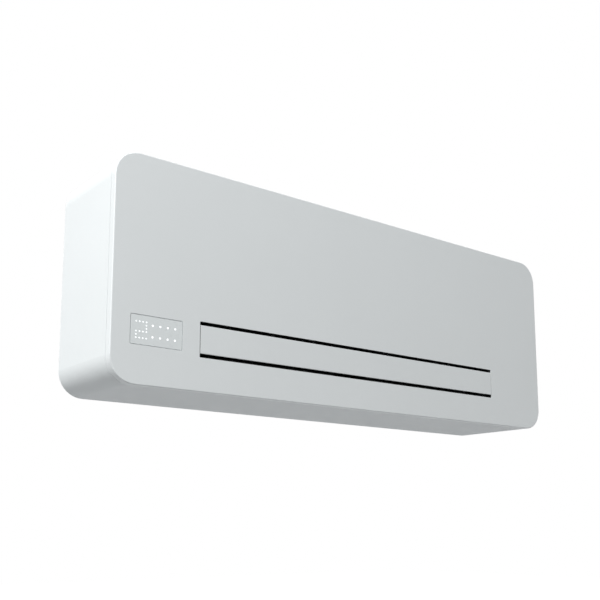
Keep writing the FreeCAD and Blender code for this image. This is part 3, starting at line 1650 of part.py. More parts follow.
def vane(label, x):
    """An upright air vane, drawn about its pivot on top of the rail."""
    body = new_body(label)
    blade = sketch_on(body, "YZ_Plane")
    outline(blade, [
        (-D.vane_front, D.vane_notch_height), (-D.vane_notch_root, D.vane_notch_height),
        (-D.vane_notch_root, D.vane_lift), (D.vane_rear, D.vane_lift),
        (D.vane_rear, D.vane_height), (-D.vane_front, D.vane_height),
    ])
    pad(body, blade, D.vane_wall, 0)
    room = sketch_on(body, "YZ_Plane")
    circle(room, FAN_Y - VANE_Y, FAN_Z - RAIL_TOP, D.fan_radius + D.vane_fan_gap)
    pocket(body, room, D.vane_wall * 2, 0)
    pivot = sketch_on(body, "XY_Plane", D.vane_lift - D.rail_height)
    circle(pivot, ZERO, ZERO, D.vane_pin_radius)
    pad(body, pivot, D.rail_height + D.vane_pin_root)
    head_low = D.bar_lift - D.bar_seat - D.crank_head
    crank = sketch_on(body, "XY_Plane", head_low)
    circle(crank, ZERO, -D.crank_reach, D.crank_radius)
    pad(body, crank, D.vane_notch_height + D.vane_pin_root - head_low)
    head = sketch_on(body, "XY_Plane", head_low)
    circle(head, ZERO, -D.crank_reach, D.crank_head_radius)
    pad(body, head, D.crank_head)
    place(body, x, VANE_Y, RAIL_TOP)


def link_bar(label, places):
    body = new_body(label)
    face = sketch_on(body, "XY_Plane", RAIL_TOP + D.bar_lift)
    y = VANE_Y - D.crank_reach
    low, high = min(places, key=lambda x: x.value), max(places, key=lambda x: x.value)
    half = D.bar_width / 2
    corner = D.bar_width * 0.45
    rectangle(face, (low - D.bar_end, y - half), (high + D.bar_end, y + half), corner)
    for x in places:
        circle(face, x, y, D.crank_radius + D.crank_clear)
    pad(body, face, D.bar_wall)


def vanes():
    for name, side in (("left", -1), ("right", 1)):
        places = [side * VANE_PITCH * (index + 0.5) for index in range(VANES_IN_GROUP)]
        for number, x in enumerate(places, start=1):
            vane(f"{name}_vane_{number}", x)
        link_bar(f"{name}_link_bar", places)


# Electrics

BOX_LEFT = BAY + D.flange_run + D.box_gap
BOX_LOW = above_base(D.box_rise)
BOX_FRONT = -PANEL_FRONT - D.box_depth


def control_box():
    body = new_body("control_box")
    shell = sketch_on(body, "XZ_Plane", PANEL_FRONT)
    rectangle(shell, (BOX_LEFT, BOX_LOW), (BOX_LEFT + D.box_width, BOX_LOW + D.box_height), D.box_corner)
    pad(body, shell, D.box_depth)
    wall = D.box_wall
    room = sketch_on(body, "XZ_Plane", PANEL_FRONT + wall)
    far = (BOX_LEFT + D.box_width - wall, BOX_LOW + D.box_height - wall)
    rectangle(room, (BOX_LEFT + wall, BOX_LOW + wall), far, D.box_corner - wall)
    pocket(body, room, D.box_depth, 1)
    posts = sketch_on(body, "XZ_Plane", PANEL_FRONT + wall)
    for x, z in post_places():
        circle(posts, x, z, D.post_radius)
    pad(body, posts, D.post_height)
    bosses = sketch_on(body, "XZ_Plane", PANEL_FRONT + wall)
    for x, z in lid_screw_places():
        circle(bosses, x, z, D.lid_boss)
    pad(body, bosses, D.box_depth - wall)
    holes = sketch_on(body, "XZ_Plane", PANEL_FRONT + D.box_depth)
    for x, z in lid_screw_places():
        circle(holes, x, z, D.screw_radius + D.hole_clear)
    pocket(body, holes, D.screw_grip + D.screw_tail, -1)


def post_places():
    inset = D.box_wall + D.post_inset
    left, right = BOX_LEFT + inset + D.lid_boss, BOX_LEFT + D.box_width - inset - D.lid_boss
    low, high = BOX_LOW + inset, BOX_LOW + D.box_height - inset
    return [(x, z) for x in (left, right) for z in (low, high)]


def lid_screw_places():
    inset = D.box_wall + D.lid_boss * 0.75
    middle = BOX_LOW + D.box_height / 2
    return [(BOX_LEFT + inset, middle), (BOX_LEFT + D.box_width - inset, middle)]


def control_box_lid():
    body = new_body("control_box_lid")
    face = sketch_on(body, "XZ_Plane", -BOX_FRONT)
    rectangle(face, (BOX_LEFT, BOX_LOW), (BOX_LEFT + D.box_width, BOX_LOW + D.box_height), D.box_corner)
    for x, z in lid_screw_places():
        circle(face, x, z, D.screw_radius + D.hole_clear)
    pad(body, face, D.lid_wall)


# Screws

def add_screws(body, plane, places, seat, grip, way):
    """Pan-head screws, with heads on the seat that point along the plane's normal (1) or against it (-1)."""
    for radius, length, side in ((D.screw_head_radius, D.screw_head, way), (D.screw_radius, grip, -way)):
        drawing = sketch_on(body, plane, seat)
        for across, up in places:
            circle(drawing, across, up, radius)
        pad(body, drawing, length, side)


def screws():
    """The screws of the casing, the bulkheads, the fan motor, the control box and the flap motor."""
    body = new_body("screws")
    add_screws(body, "XZ_Plane", four_corners(BOSS_X, BOSS_Z), D.back_gap, D.back_wall + D.screw_grip, -1)
    flange = PANEL_FRONT + D.bulkhead_wall
    grip = D.back_wall + D.bulkhead_wall + D.screw_tail
    add_screws(body, "XZ_Plane", bulkhead_screw_places(), flange, grip, 1)
    grip = D.motor_flange_wall + D.grommet_length + D.bulkhead_wall + D.screw_tail
    add_screws(body, "YZ_Plane", motor_bolt_places(), MOTOR_X + D.motor_flange_wall, grip, 1)
    add_screws(body, "XZ_Plane", lid_screw_places(), D.lid_wall - BOX_FRONT, D.lid_wall + D.screw_grip, 1)
    grip = D.stepper_ear_wall + D.bulkhead_wall + D.screw_tail
    add_screws(body, "YZ_Plane", stepper_screw_places(), BAY + D.stepper_ear_wall, grip, 1)


CIRCUIT_Y = -PANEL_FRONT - D.box_wall - D.post_height


def control_board():
    inset = D.box_wall + D.lid_boss + D.circuit_inset
    lengths = (D.box_width - inset * 2, D.board_wall, D.box_height - (D.box_wall + D.circuit_inset) * 2)
    low = (BOX_LEFT + inset, CIRCUIT_Y - D.board_wall, BOX_LOW + D.box_wall + D.circuit_inset)
    pieces = [block(low, lengths)]
    relay_z = low[2] + lengths[2] - D.relay_width - D.circuit_inset
    relay_y = low[1] - D.relay_height
    for column in range(2):
        x = low[0] + D.circuit_inset + column * (D.relay_length + D.circuit_inset)
        pieces.append(block((x, relay_y, relay_z), (D.relay_length, D.relay_height, D.relay_width)))
    can_z = relay_z - D.relay_length
    can_x = low[0] + D.relay_length
    pieces.append(rod(can_x, low[1] - D.relay_length, can_z, "Y", D.relay_width, D.relay_length))
    keep(fused("control_board", pieces))


def terminal_block():
    body = new_body("terminal_block")
    x = BOX_LEFT + (D.box_width - D.terminal_length) / 2
    low = BOX_LOW + D.box_wall + D.circuit_inset * 2
    back = CIRCUIT_Y - D.board_wall
    profile = sketch_on(body, "YZ_Plane", x)
    front, shelf = back - D.terminal_height, back - D.terminal_height + D.terminal_step
    outline(profile, [
        (front, low + D.terminal_step), (shelf, low + D.terminal_step), (shelf, low),
        (back, low), (back, low + D.terminal_width), (front, low + D.terminal_width),
    ])
    pad(body, profile, D.terminal_length)
    mouth = sketch_on(body, "XZ_Plane", -front)
    width = D.terminal_width - D.terminal_step
    first = x + (D.terminal_length - D.terminal_pitch * (TERMINAL_COUNT - 1)) / 2
    circle(mouth, first, low + D.terminal_step + width / 2, width * 0.36)
    gap = pocket(body, mouth, D.terminal_pocket_depth, -1)
    in_line(body, [gap], "X_Axis", D.terminal_pitch * (TERMINAL_COUNT - 1), TERMINAL_COUNT)


def cable_grommet():
    body = new_body("cable_grommet")
    profile = sketch_on(body, "XZ_Plane")
    half, groove = D.back_wall * 2, D.back_wall / 2
    waist, rim = D.grommet_groove - D.hub_clear, D.grommet_outer
    outline(profile, [
        (D.grommet_bore, -half), (rim, -half), (rim, -groove), (waist, -groove),
        (waist, groove), (rim, groove), (rim, half), (D.grommet_bore, half),
    ])
    revolve(body, profile, "Z_Axis")
    place(body, CABLE_X, -D.back_gap - D.back_wall / 2, CABLE_Z, (1, 0, 0), QUARTER_TURN)


def air_sensor():
    x = -BULKHEAD_INNER
    y, z = behind_front(D.sensor_setback), below_top(D.sensor_drop)
    half = D.sensor_clip / 2
    clip = block((x, y - half, z - half), (D.sensor_clip, D.sensor_clip, D.sensor_clip))
    probe = rod(x, y, z, "X", D.sensor_radius, D.sensor_clip + D.sensor_length)
    keep(fused("air_sensor", [clip, probe]))


# Display

WINDOW_BACK = D.depth - D.window_sink - D.window_wall


def display_window():
    body = new_body("display_window")
    face = sketch_on(body, "XZ_Plane", WINDOW_BACK)
    size = (D.display_width - D.display_gap * 2, D.display_height - D.display_gap * 2)
    centred(face, DISPLAY_X, DISPLAY_Z, *size, D.display_corner - D.display_gap)
    pad(body, face, D.window_wall)


def display_holder():
    body = new_body("display_holder")
    face = sketch_on(body, "XZ_Plane", WINDOW_BACK)
    margin = D.holder_margin * 2
    outer = (D.display_width + margin, D.display_height + margin)
    centred(face, DISPLAY_X, DISPLAY_Z, *outer, D.display_corner)
    pad(body, face, D.holder_depth, -1)
    room = sketch_on(body, "XZ_Plane", WINDOW_BACK)
    rim = D.holder_rim * 2
    inner = (outer[0] - rim, outer[1] - rim)
    centred(room, DISPLAY_X, DISPLAY_Z, *inner)
    pocket(body, room, D.holder_depth - D.holder_floor, -1)
    posts = sketch_on(body, "XZ_Plane", WINDOW_BACK - D.holder_depth + D.holder_floor)
    for x, z in four_corners(inner[0] / 2 - D.post_radius * 2, inner[1] / 2 - D.post_radius * 2):
        circle(posts, DISPLAY_X + x, DISPLAY_Z + z, D.post_radius)
    pad(body, posts, D.board_lift)


BOARD_BACK = WINDOW_BACK - D.holder_depth + D.holder_floor + D.board_lift


def display_board():
    body = new_body("display_board")
    face = sketch_on(body, "XZ_Plane", BOARD_BACK)
    shrink = (D.holder_rim - D.holder_margin + D.board_clear) * 2
    centred(face, DISPLAY_X, DISPLAY_Z, D.display_width - shrink, D.display_height - shrink)
    pad(body, face, D.board_wall)


def display_lights():
    body = new_body("display_lights")
    face = sketch_on(body, "XZ_Plane", BOARD_BACK + D.board_wall)
    left = DISPLAY_X - D.display_width / 2
    low = DISPLAY_Z - D.display_height / 2
    for column in range(LIGHT_COLUMNS):
        for line in range(LIGHT_ROWS):
            x = left + D.light_first_x + D.light_pitch_x * column
            z = low + D.light_low + D.light_pitch_z * line
            centred(face, x, z, D.light_size, D.light_size)
    pad(body, face, D.light_height)
    digits = sketch_on(body, "XZ_Plane", BOARD_BACK + D.board_wall)
    centre = left + D.digit_inset + D.digit_width / 2
    centred(digits, centre, DISPLAY_Z, D.digit_width, D.digit_height)
    pad(body, digits, D.digit_depth)


def build_all():
    wall_plate()
    back_panel()
    casing()
    front_cover()
    cover_clips()
    left_bulkhead()
    right_bulkhead()
    intake_frame()
    for name, side in (("left", -1), ("right", 1)):
        filter_grille(f"{name}_filter_grille", side)
        filter_net(f"{name}_filter_net", side)
    fan_scroll()
    outlet_duct()
    outlet_seal()
    drip_tray()
    drain_hose()
    coil_fins()
    coil_tubes()
    coil_end_plates()
    flow_pipe()
    return_pipe()
    flow_union()
    water_valve()
    valve_actuator()
    air_vent()
    fan_impeller()
    fan_shafts()
    fan_bearing()
    bearing_bush()
    fan_motor()
    motor_grommets()
    flap_panel()
    flap_arms()
    flap_shafts()
    flap_bushes()
    flap_motor()
    vane_rail()
    vanes()
    control_box()
    control_box_lid()
    screws()
    control_board()
    terminal_block()
    cable_grommet()
    air_sensor()
    display_window()
    display_holder()
    display_board()
    display_lights()


def check_all():
    """Stops the build if any object failed or any piece is empty or broken."""
    faults = [f"{item.Name}: {item.getStatusString()}" for item in doc.Objects
              if {"Invalid", "Error"} & set(item.State)]
    for piece in PARTS:
        if piece.Shape.isNull() or not piece.Shape.isValid() or not piece.Shape.Solids:
            faults.append(f"{piece.Label} has no sound solid")
    if faults:
        raise RuntimeError("\n".join(faults))


def export_all():
    os.makedirs("parts", exist_ok=True)
    for piece in PARTS:
        piece.Shape.exportStep(f"parts/{piece.Label}.step")


build_all()
doc.recompute()
check_all()
export_all()
print(f"{len(PARTS)} pieces")
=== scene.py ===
import math

import bmesh
import bpy
from mathutils import Matrix, Vector


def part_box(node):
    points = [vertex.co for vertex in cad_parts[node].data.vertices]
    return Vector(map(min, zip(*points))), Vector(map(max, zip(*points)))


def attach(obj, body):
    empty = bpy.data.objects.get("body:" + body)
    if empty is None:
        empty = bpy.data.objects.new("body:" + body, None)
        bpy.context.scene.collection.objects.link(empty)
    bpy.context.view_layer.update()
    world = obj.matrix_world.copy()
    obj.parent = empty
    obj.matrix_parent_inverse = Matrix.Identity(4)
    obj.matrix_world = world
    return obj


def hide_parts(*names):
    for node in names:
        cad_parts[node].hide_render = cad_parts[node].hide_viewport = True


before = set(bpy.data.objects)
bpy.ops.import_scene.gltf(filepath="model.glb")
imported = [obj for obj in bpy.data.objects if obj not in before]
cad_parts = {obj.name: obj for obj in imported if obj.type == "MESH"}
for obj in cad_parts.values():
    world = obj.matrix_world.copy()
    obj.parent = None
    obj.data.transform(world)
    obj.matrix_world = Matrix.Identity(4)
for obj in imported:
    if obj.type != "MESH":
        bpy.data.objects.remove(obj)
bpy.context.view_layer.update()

# Wall-mounted fan coil unit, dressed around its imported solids. Metres, +Z up, the front faces -Y.

MM = 0.001


# Steps that build up a finish

NOISE_LOW = 0.3
NOISE_HIGH = 0.7


def shader_of(finish):
    """The main shader of a finish."""
    return finish.node_tree.nodes["Principled BSDF"]


def new_finish(name, colour, roughness, metallic=0.0, specular=0.5):
    """A finish with its even values set on the shader itself."""
    finish = bpy.data.materials.new(name)
    finish.use_nodes = True
    shader = shader_of(finish)
    shader.inputs["Base Color"].default_value = (*colour, 1)
    shader.inputs["Roughness"].default_value = roughness
    shader.inputs["Metallic"].default_value = metallic
    shader.inputs["Specular IOR Level"].default_value = specular
    return finish


def add_node(owner, kind):
    """A new node in a finish or in the world."""
    return owner.node_tree.nodes.new(kind)


def wire(owner, source, target):
    """Joins one node's output to another's input."""
    owner.node_tree.links.new(source, target)


def coordinates(finish, stretch=(1, 1, 1)):
    """Object coordinates, stretched along the axes."""
    place = add_node(finish, "ShaderNodeTexCoord")
    mapping = add_node(finish, "ShaderNodeMapping")
    mapping.inputs["Scale"].default_value = stretch
    wire(finish, place.outputs["Object"], mapping.inputs["Vector"])
    return mapping.outputs["Vector"]


def noise(finish, scale, stretch=(1, 1, 1), detail=3.0):
    """Cloudy noise. Its values lie mostly between NOISE_LOW and NOISE_HIGH."""
    clouds = add_node(finish, "ShaderNodeTexNoise")
    clouds.inputs["Scale"].default_value = scale
    clouds.inputs["Detail"].default_value = detail
    wire(finish, coordinates(finish, stretch), clouds.inputs["Vector"])
    return clouds.outputs["Fac"]


def tint(finish, value, dark, light, start=NOISE_LOW, end=NOISE_HIGH):
    """Colours the surface between two tones by a texture's value."""
    ramp = add_node(finish, "ShaderNodeValToRGB")
    first, last = ramp.color_ramp.elements
    first.position = start
    first.color = (*dark, 1)
    last.position = end
    last.color = (*light, 1)
    wire(finish, value, ramp.inputs["Fac"])
    wire(finish, ramp.outputs["Color"], shader_of(finish).inputs["Base Color"])


def gloss(finish, value, low, high, start=NOISE_LOW, end=NOISE_HIGH):
    """Varies the roughness between two numbers by a texture's value."""
    ranges = add_node(finish, "ShaderNodeMapRange")
    limits = {"From Min": start, "From Max": end, "To Min": low, "To Max": high}
    for name, number in limits.items():
        ranges.inputs[name].default_value = number
    wire(finish, value, ranges.inputs["Value"])
    wire(finish, ranges.outputs["Result"], shader_of(finish).inputs["Roughness"])


def relief(finish, value, height, strength):
    """Raises the surface by a texture's value."""
    bump = add_node(finish, "ShaderNodeBump")
    bump.inputs["Strength"].default_value = strength
    bump.inputs["Distance"].default_value = height
    wire(finish, value, bump.inputs["Height"])
    wire(finish, bump.outputs["Normal"], shader_of(finish).inputs["Normal"])


def shade(colour, factor):
    """A darker tone of a colour."""
    return tuple(channel * factor for channel in colour)


# Finishes

UNIT_WHITE = (0.784, 0.818, 0.825)
PANEL_WHITE = (0.757, 0.8, 0.805)


def white_paint():
    """Satin sprayed paint with a slight orange peel."""
    finish = new_finish("white_paint", UNIT_WHITE, roughness=0.46, specular=0.35)
    tint(finish, noise(finish, scale=7), dark=shade(UNIT_WHITE, 0.988), light=UNIT_WHITE)
    gloss(finish, noise(finish, scale=40), low=0.42, high=0.5)
    relief(finish, noise(finish, scale=420, detail=1.0), height=0.012 * MM, strength=0.5)
    return finish


def white_plastic():
    """Moulded plastic with a fine even grain."""
    finish = new_finish("white_plastic", UNIT_WHITE, roughness=0.55, specular=0.3)
    tint(finish, noise(finish, scale=9), dark=shade(UNIT_WHITE, 0.985), light=UNIT_WHITE)
    gloss(finish, noise(finish, scale=60), low=0.5, high=0.6)
    relief(finish, noise(finish, scale=900, detail=2.0), height=0.02 * MM, strength=0.6)
    return finish


def touch_panel():
    """Smooth back-printed panel with a clear coat."""
    finish = new_finish("touch_panel", PANEL_WHITE, roughness=0.3)
    shader_of(finish).inputs["Coat Weight"].default_value = 0.4
    shader_of(finish).inputs["Coat Roughness"].default_value = 0.08
    tint(finish, noise(finish, scale=30), dark=shade(PANEL_WHITE, 0.985), light=PANEL_WHITE)
    gloss(finish, noise(finish, scale=120), low=0.26, high=0.34)
    return finish


def matt_black():
    """Dark moulded plastic inside the air path."""
    finish = new_finish("matt_black", (0.012, 0.012, 0.013), roughness=0.62)
    tint(finish, noise(finish, scale=30), dark=(0.009, 0.009, 0.010), light=(0.017, 0.017, 0.018))
    gloss(finish, noise(finish, scale=90), low=0.55, high=0.72)
    relief(finish, noise(finish, scale=1100), height=0.04 * MM, strength=0.7)
    return finish


def fan_black():
    """Glass-filled plastic with faint swirls."""
    finish = new_finish("fan_black", (0.028, 0.03, 0.033), roughness=0.5)
    swirls = noise(finish, scale=55, stretch=(0.2, 1, 1))
    tint(finish, swirls, dark=(0.02, 0.021, 0.024), light=(0.042, 0.044, 0.048))
    gloss(finish, noise(finish, scale=130), low=0.42, high=0.6)
    relief(finish, noise(finish, scale=800), height=0.03 * MM, strength=0.6)
    return finish


def galvanised():
    """Zinc-coated sheet with its spangle."""
    finish = new_finish("galvanised", (0.6, 0.62, 0.64), roughness=0.4, metallic=1.0)
    flakes = add_node(finish, "ShaderNodeTexVoronoi")
    flakes.inputs["Scale"].default_value = 210
    wire(finish, coordinates(finish), flakes.inputs["Vector"])
    split = add_node(finish, "ShaderNodeSeparateColor")
    wire(finish, flakes.outputs["Color"], split.inputs["Color"])
    tint(finish, split.outputs["Red"], dark=(0.52, 0.54, 0.56), light=(0.63, 0.65, 0.67), start=0, end=1)
    gloss(finish, split.outputs["Green"], low=0.36, high=0.48, start=0, end=1)
    relief(finish, noise(finish, scale=300), height=0.03 * MM, strength=0.4)
    return finish


def bright_steel():
    """Turned and plated steel with fine marks."""
    finish = new_finish("bright_steel", (0.62, 0.63, 0.64), roughness=0.34, metallic=1.0)
    marks = noise(finish, scale=60, stretch=(1, 6, 6))
    tint(finish, marks, dark=(0.5, 0.51, 0.52), light=(0.68, 0.69, 0.7))
    gloss(finish, noise(finish, scale=150, stretch=(1, 5, 5)), low=0.26, high=0.44)
    relief(finish, noise(finish, scale=700, stretch=(0.3, 3, 3)), height=0.02 * MM, strength=0.4)
    return finish


def fin_aluminium():
    """Thin rolled aluminium with faint clouding."""
    finish = new_finish("fin_aluminium", (0.88, 0.885, 0.89), roughness=0.4, metallic=1.0)
    clouding = noise(finish, scale=45, detail=5.0)
    tint(finish, clouding, dark=(0.84, 0.845, 0.85), light=(0.92, 0.925, 0.93))
    gloss(finish, noise(finish, scale=90), low=0.34, high=0.5)
    relief(finish, noise(finish, scale=500, stretch=(1, 0.3, 0.3)), height=0.01 * MM, strength=0.4)
    return finish


def drawn_copper():
    """Copper tube with faint tarnish."""
    finish = new_finish("drawn_copper", (0.72, 0.36, 0.2), roughness=0.32, metallic=1.0)
    tarnish = noise(finish, scale=28, detail=6.0)
    tint(finish, tarnish, dark=(0.42, 0.2, 0.12), light=(0.78, 0.42, 0.26))
    gloss(finish, noise(finish, scale=70), low=0.24, high=0.48)
    relief(finish, noise(finish, scale=400), height=0.02 * MM, strength=0.4)
    return finish


def machined_brass():
    """Turned brass with dull patches."""
    finish = new_finish("machined_brass", (0.72, 0.53, 0.24), roughness=0.3, metallic=1.0)
    patches = noise(finish, scale=50, detail=5.0)
    tint(finish, patches, dark=(0.52, 0.36, 0.15), light=(0.8, 0.62, 0.3))
    gloss(finish, noise(finish, scale=160, stretch=(3, 1, 3)), low=0.22, high=0.42)
    relief(finish, noise(finish, scale=600), height=0.02 * MM, strength=0.4)
    return finish


def grey_plastic():
    """Moulded grey plastic of the small housings."""
    finish = new_finish("grey_plastic", (0.3, 0.31, 0.32), roughness=0.5)
    tint(finish, noise(finish, scale=25), dark=(0.26, 0.27, 0.28), light=(0.33, 0.34, 0.35))
    gloss(finish, noise(finish, scale=90), low=0.44, high=0.6)
    relief(finish, noise(finish, scale=1000), height=0.04 * MM, strength=0.6)
    return finish


def black_rubber():
    """Dull rubber of the seals and grommets."""
    finish = new_finish("black_rubber", (0.018, 0.018, 0.019), roughness=0.78)
    tint(finish, noise(finish, scale=60), dark=(0.013, 0.013, 0.014), light=(0.026, 0.026, 0.027))
    gloss(finish, noise(finish, scale=120), low=0.7, high=0.88)
    relief(finish, noise(finish, scale=700), height=0.06 * MM, strength=0.8)
    return finish


def circuit_green():
    """Circuit board with faint copper tracks under its lacquer."""
    finish = new_finish("circuit_green", (0.03, 0.16, 0.07), roughness=0.35)
    tracks = add_node(finish, "ShaderNodeTexBrick")
    tracks.inputs["Scale"].default_value = 90
    tones = {"Color1": (0.02, 0.13, 0.055), "Color2": (0.03, 0.17, 0.075), "Mortar": (0.07, 0.26, 0.12)}
    for name, tone in tones.items():
        tracks.inputs[name].default_value = (*tone, 1)
    wire(finish, coordinates(finish), tracks.inputs["Vector"])
    wire(finish, tracks.outputs["Color"], shader_of(finish).inputs["Base Color"])
    gloss(finish, noise(finish, scale=80), low=0.28, high=0.42)
    return finish


def lamp_white():
    """Small lamps that shine softly through the panel."""
    finish = new_finish("lamp_white", (0.92, 0.94, 0.95), roughness=0.3)
    shader_of(finish).inputs["Emission Color"].default_value = (0.95, 0.98, 1, 1)
    shader_of(finish).inputs["Emission Strength"].default_value = 0.7
    tint(finish, noise(finish, scale=300), dark=(0.9, 0.92, 0.93), light=(0.95, 0.97, 0.98))
    return finish


FINISHES = {
    "white_paint": white_paint(),
    "white_plastic": white_plastic(),
    "touch_panel": touch_panel(),
    "matt_black": matt_black(),
    "fan_black": fan_black(),
    "galvanised": galvanised(),
    "bright_steel": bright_steel(),
    "fin_aluminium": fin_aluminium(),
    "drawn_copper": drawn_copper(),
    "machined_brass": machined_brass(),
    "grey_plastic": grey_plastic(),
    "black_rubber": black_rubber(),
    "circuit_green": circuit_green(),
    "lamp_white": lamp_white(),
}


# Nodes under their finishes

VANES = [f"{side}_vane_{number}" for side in ("left", "right") for number in (1, 2, 3, 4)]
FINISH_NODES = {
    "white_paint": ["front_cover"],
    "white_plastic": ["casing", "flap_panel", "flap_arms", "intake_frame", "left_filter_grille",
                      "right_filter_grille", "display_holder"],
    "touch_panel": ["display_window"],
    "matt_black": ["fan_scroll", "outlet_duct", "vane_rail", "terminal_block", "air_sensor",
                   "left_filter_net", "right_filter_net", "drip_tray"],
    "fan_black": ["fan_impeller", "left_link_bar", "right_link_bar", *VANES],
    "galvanised": ["wall_plate", "back_panel", "left_bulkhead", "right_bulkhead", "coil_end_plates"],
    "bright_steel": ["screws", "fan_shafts", "flap_shafts", "fan_bearing", "fan_motor", "flap_motor"],
    "fin_aluminium": ["coil_fins"],
    "drawn_copper": ["coil_tubes", "flow_pipe", "return_pipe"],
    "machined_brass": ["flow_union", "water_valve", "air_vent"],
    "grey_plastic": ["control_box", "control_box_lid", "valve_actuator", "flap_bushes", "cover_clips"],
    "black_rubber": ["outlet_seal", "bearing_bush", "motor_grommets", "cable_grommet", "drain_hose"],
    "circuit_green": ["control_board", "display_board"],
    "lamp_white": ["display_lights"],
}


def dress_nodes():
    """Gives every node its finish."""
    for finish, nodes in FINISH_NODES.items():
        for node in nodes:
            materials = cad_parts[node].data.materials
            materials.clear()
            materials.append(FINISHES[finish])


# Steps that build up a piece

BEVEL_STEPS = 2
MERGE_DISTANCE = 0.001 * MM


def add_object(name, mesh, finish):
    """Turns a bmesh into an object of the scene."""
    data = bpy.data.meshes.new(name)
    mesh.to_mesh(data)
    mesh.free()
    data.materials.append(finish)
    item = bpy.data.objects.new(name, data)
    bpy.context.scene.collection.objects.link(item)
    return item


def make_piece(name, mesh, finish, body):
    """Turns a bmesh into a piece that moves with a body."""
    piece = add_object(name, mesh, FINISHES[finish])
    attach(piece, body)
    return piece


def add_block(mesh, middle, sizes, turn=Matrix.Identity(4)):
    """A block of the given sizes around its middle."""
    place = Matrix.Translation(middle) @ turn @ Matrix.Diagonal((*sizes, 1))
    return bmesh.ops.create_cube(mesh, size=1, matrix=place)


def edges_of(made):
    """Each edge of a newly made shape once, always in the same order."""
    return list(dict.fromkeys(edge for corner in made["verts"] for edge in corner.link_edges))


def break_edges(mesh, edges, width):
    """Rounds the given edges."""
    bmesh.ops.bevel(mesh, geom=edges, offset=width, segments=BEVEL_STEPS, profile=0.5, affect="EDGES",
                    material=-1)


def close_seams(mesh):
    """Merges doubles and turns the faces outwards."""
    bmesh.ops.remove_doubles(mesh, verts=mesh.verts[:], dist=MERGE_DISTANCE)
    bmesh.ops.recalc_face_normals(mesh, faces=mesh.faces[:])


# Display lamps, placed from the lower left corner of the touch panel

FACING_FRONT = Matrix.Rotation(math.radians(90), 4, "X")
LAMP_HEIGHT = 0.25 * MM
LAMP_SINK = 0.05 * MM  # from the panel's face back to the middle of a lamp
LAMP_TAPER = 0.9
LAMP_SIDES = 20
DIGIT_ROWS = ("1111", "0001", "0001", "1111", "1000", "1111")
DIGIT_LEFT = 8.2 * MM
DIGIT_TOP = 31.4 * MM
DIGIT_COLUMN_STEP = 5.2 * MM
DIGIT_ROW_STEP = 4.5 * MM
DIGIT_LAMP_RADIUS = 1.05 * MM
KEY_COLUMNS = 4
KEY_LEFT = 33.4 * MM
KEY_COLUMN_STEP = 11.6 * MM
KEY_ROW_HEIGHTS = (11.9 * MM, 28.0 * MM)
KEY_LAMP_RADIUS = 1.5 * MM


def lamp_spots():
    """The place and radius of each lamp of the digit and of the two rows of keys."""
    spots = []
    for row, dots in enumerate(DIGIT_ROWS):
        for column, dot in enumerate(dots):
            if dot == "1":
                x = DIGIT_LEFT + DIGIT_COLUMN_STEP * column
                spots.append((x, DIGIT_TOP - DIGIT_ROW_STEP * row, DIGIT_LAMP_RADIUS))
    for column in range(KEY_COLUMNS):
        for z in KEY_ROW_HEIGHTS:
            spots.append((KEY_LEFT + KEY_COLUMN_STEP * column, z, KEY_LAMP_RADIUS))
    return spots


def display_lamps():
    """A digit of lamps and two rows of key lamps on the touch panel."""
    corner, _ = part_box("display_window")
    mesh = bmesh.new()
    for x, z, radius in lamp_spots():
        place = Matrix.Translation(corner + Vector((x, LAMP_SINK, z))) @ FACING_FRONT
        bmesh.ops.create_cone(mesh, cap_ends=True, segments=LAMP_SIDES, radius1=radius,
                              radius2=radius * LAMP_TAPER, depth=LAMP_HEIGHT, matrix=place)
    make_piece("display_lamps", mesh, "lamp_white", "unit")


# End strips of the flap: rubber end seals whose black also paints the shade of the narrow gaps at the
# flap's ends

SEAL_WALL = 0.3 * MM
SEAL_SET_BACK = 0.3 * MM
SEAL_DEPTH = 1.2 * MM
SEAL_SHORT = 0.8 * MM
SEAL_EDGE = 0.1 * MM


def flap_end_seals_painted_shade():
    """The thin dark strip on each end of the flap, set back from its face. Its black also paints the
    shade of the narrow gap beside each end.
    """
    low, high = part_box("flap_panel")
    sizes = (SEAL_WALL, SEAL_DEPTH, high.z - low.z - SEAL_SHORT * 2)
    y = low.y + SEAL_SET_BACK + SEAL_DEPTH / 2
    z = (low.z + high.z) / 2
    mesh = bmesh.new()
    for x in (low.x - SEAL_WALL / 2, high.x + SEAL_WALL / 2):
        add_block(mesh, (x, y, z), sizes)
    break_edges(mesh, mesh.edges[:], SEAL_EDGE)
    # The black rubber here is partly painted shade for the narrow gaps at the flap's ends
    make_piece("flap_end_seals_painted_shade", mesh, "black_rubber", "flap")


# Filter nets

NET_THREAD = 0.3 * MM
NET_PITCH = 4.2 * MM
NET_SHORT = 1 * MM


def filter_mesh(side):
    """The fine threads of a filter net, one layer across the other."""
    low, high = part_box(f"{side}_filter_net")
    size = high - low
    mesh = bmesh.new()
    for along, across, lift in ((0, 1, NET_THREAD / 2), (1, 0, -NET_THREAD / 2)):
        sizes = [NET_THREAD, NET_THREAD, NET_THREAD]
        sizes[along] = size[along] - NET_SHORT * 2
        count = round(size[across] / NET_PITCH)
        for index in range(1, count):
            middle = (low + high) / 2
            middle[across] = low[across] + size[across] * index / count
            middle.z += lift
            add_block(mesh, middle, sizes)
    make_piece(f"{side}_filter_mesh", mesh, "matt_black", f"{side}_filter")


# Coil fins

COIL_LENGTH = 132 * MM
COIL_THICKNESS = 40 * MM
COIL_LEAN = Matrix.Rotation(math.radians(-45), 4, "X")
FIN_PITCH = 2.4 * MM
FIN_WALL = 0.5 * MM


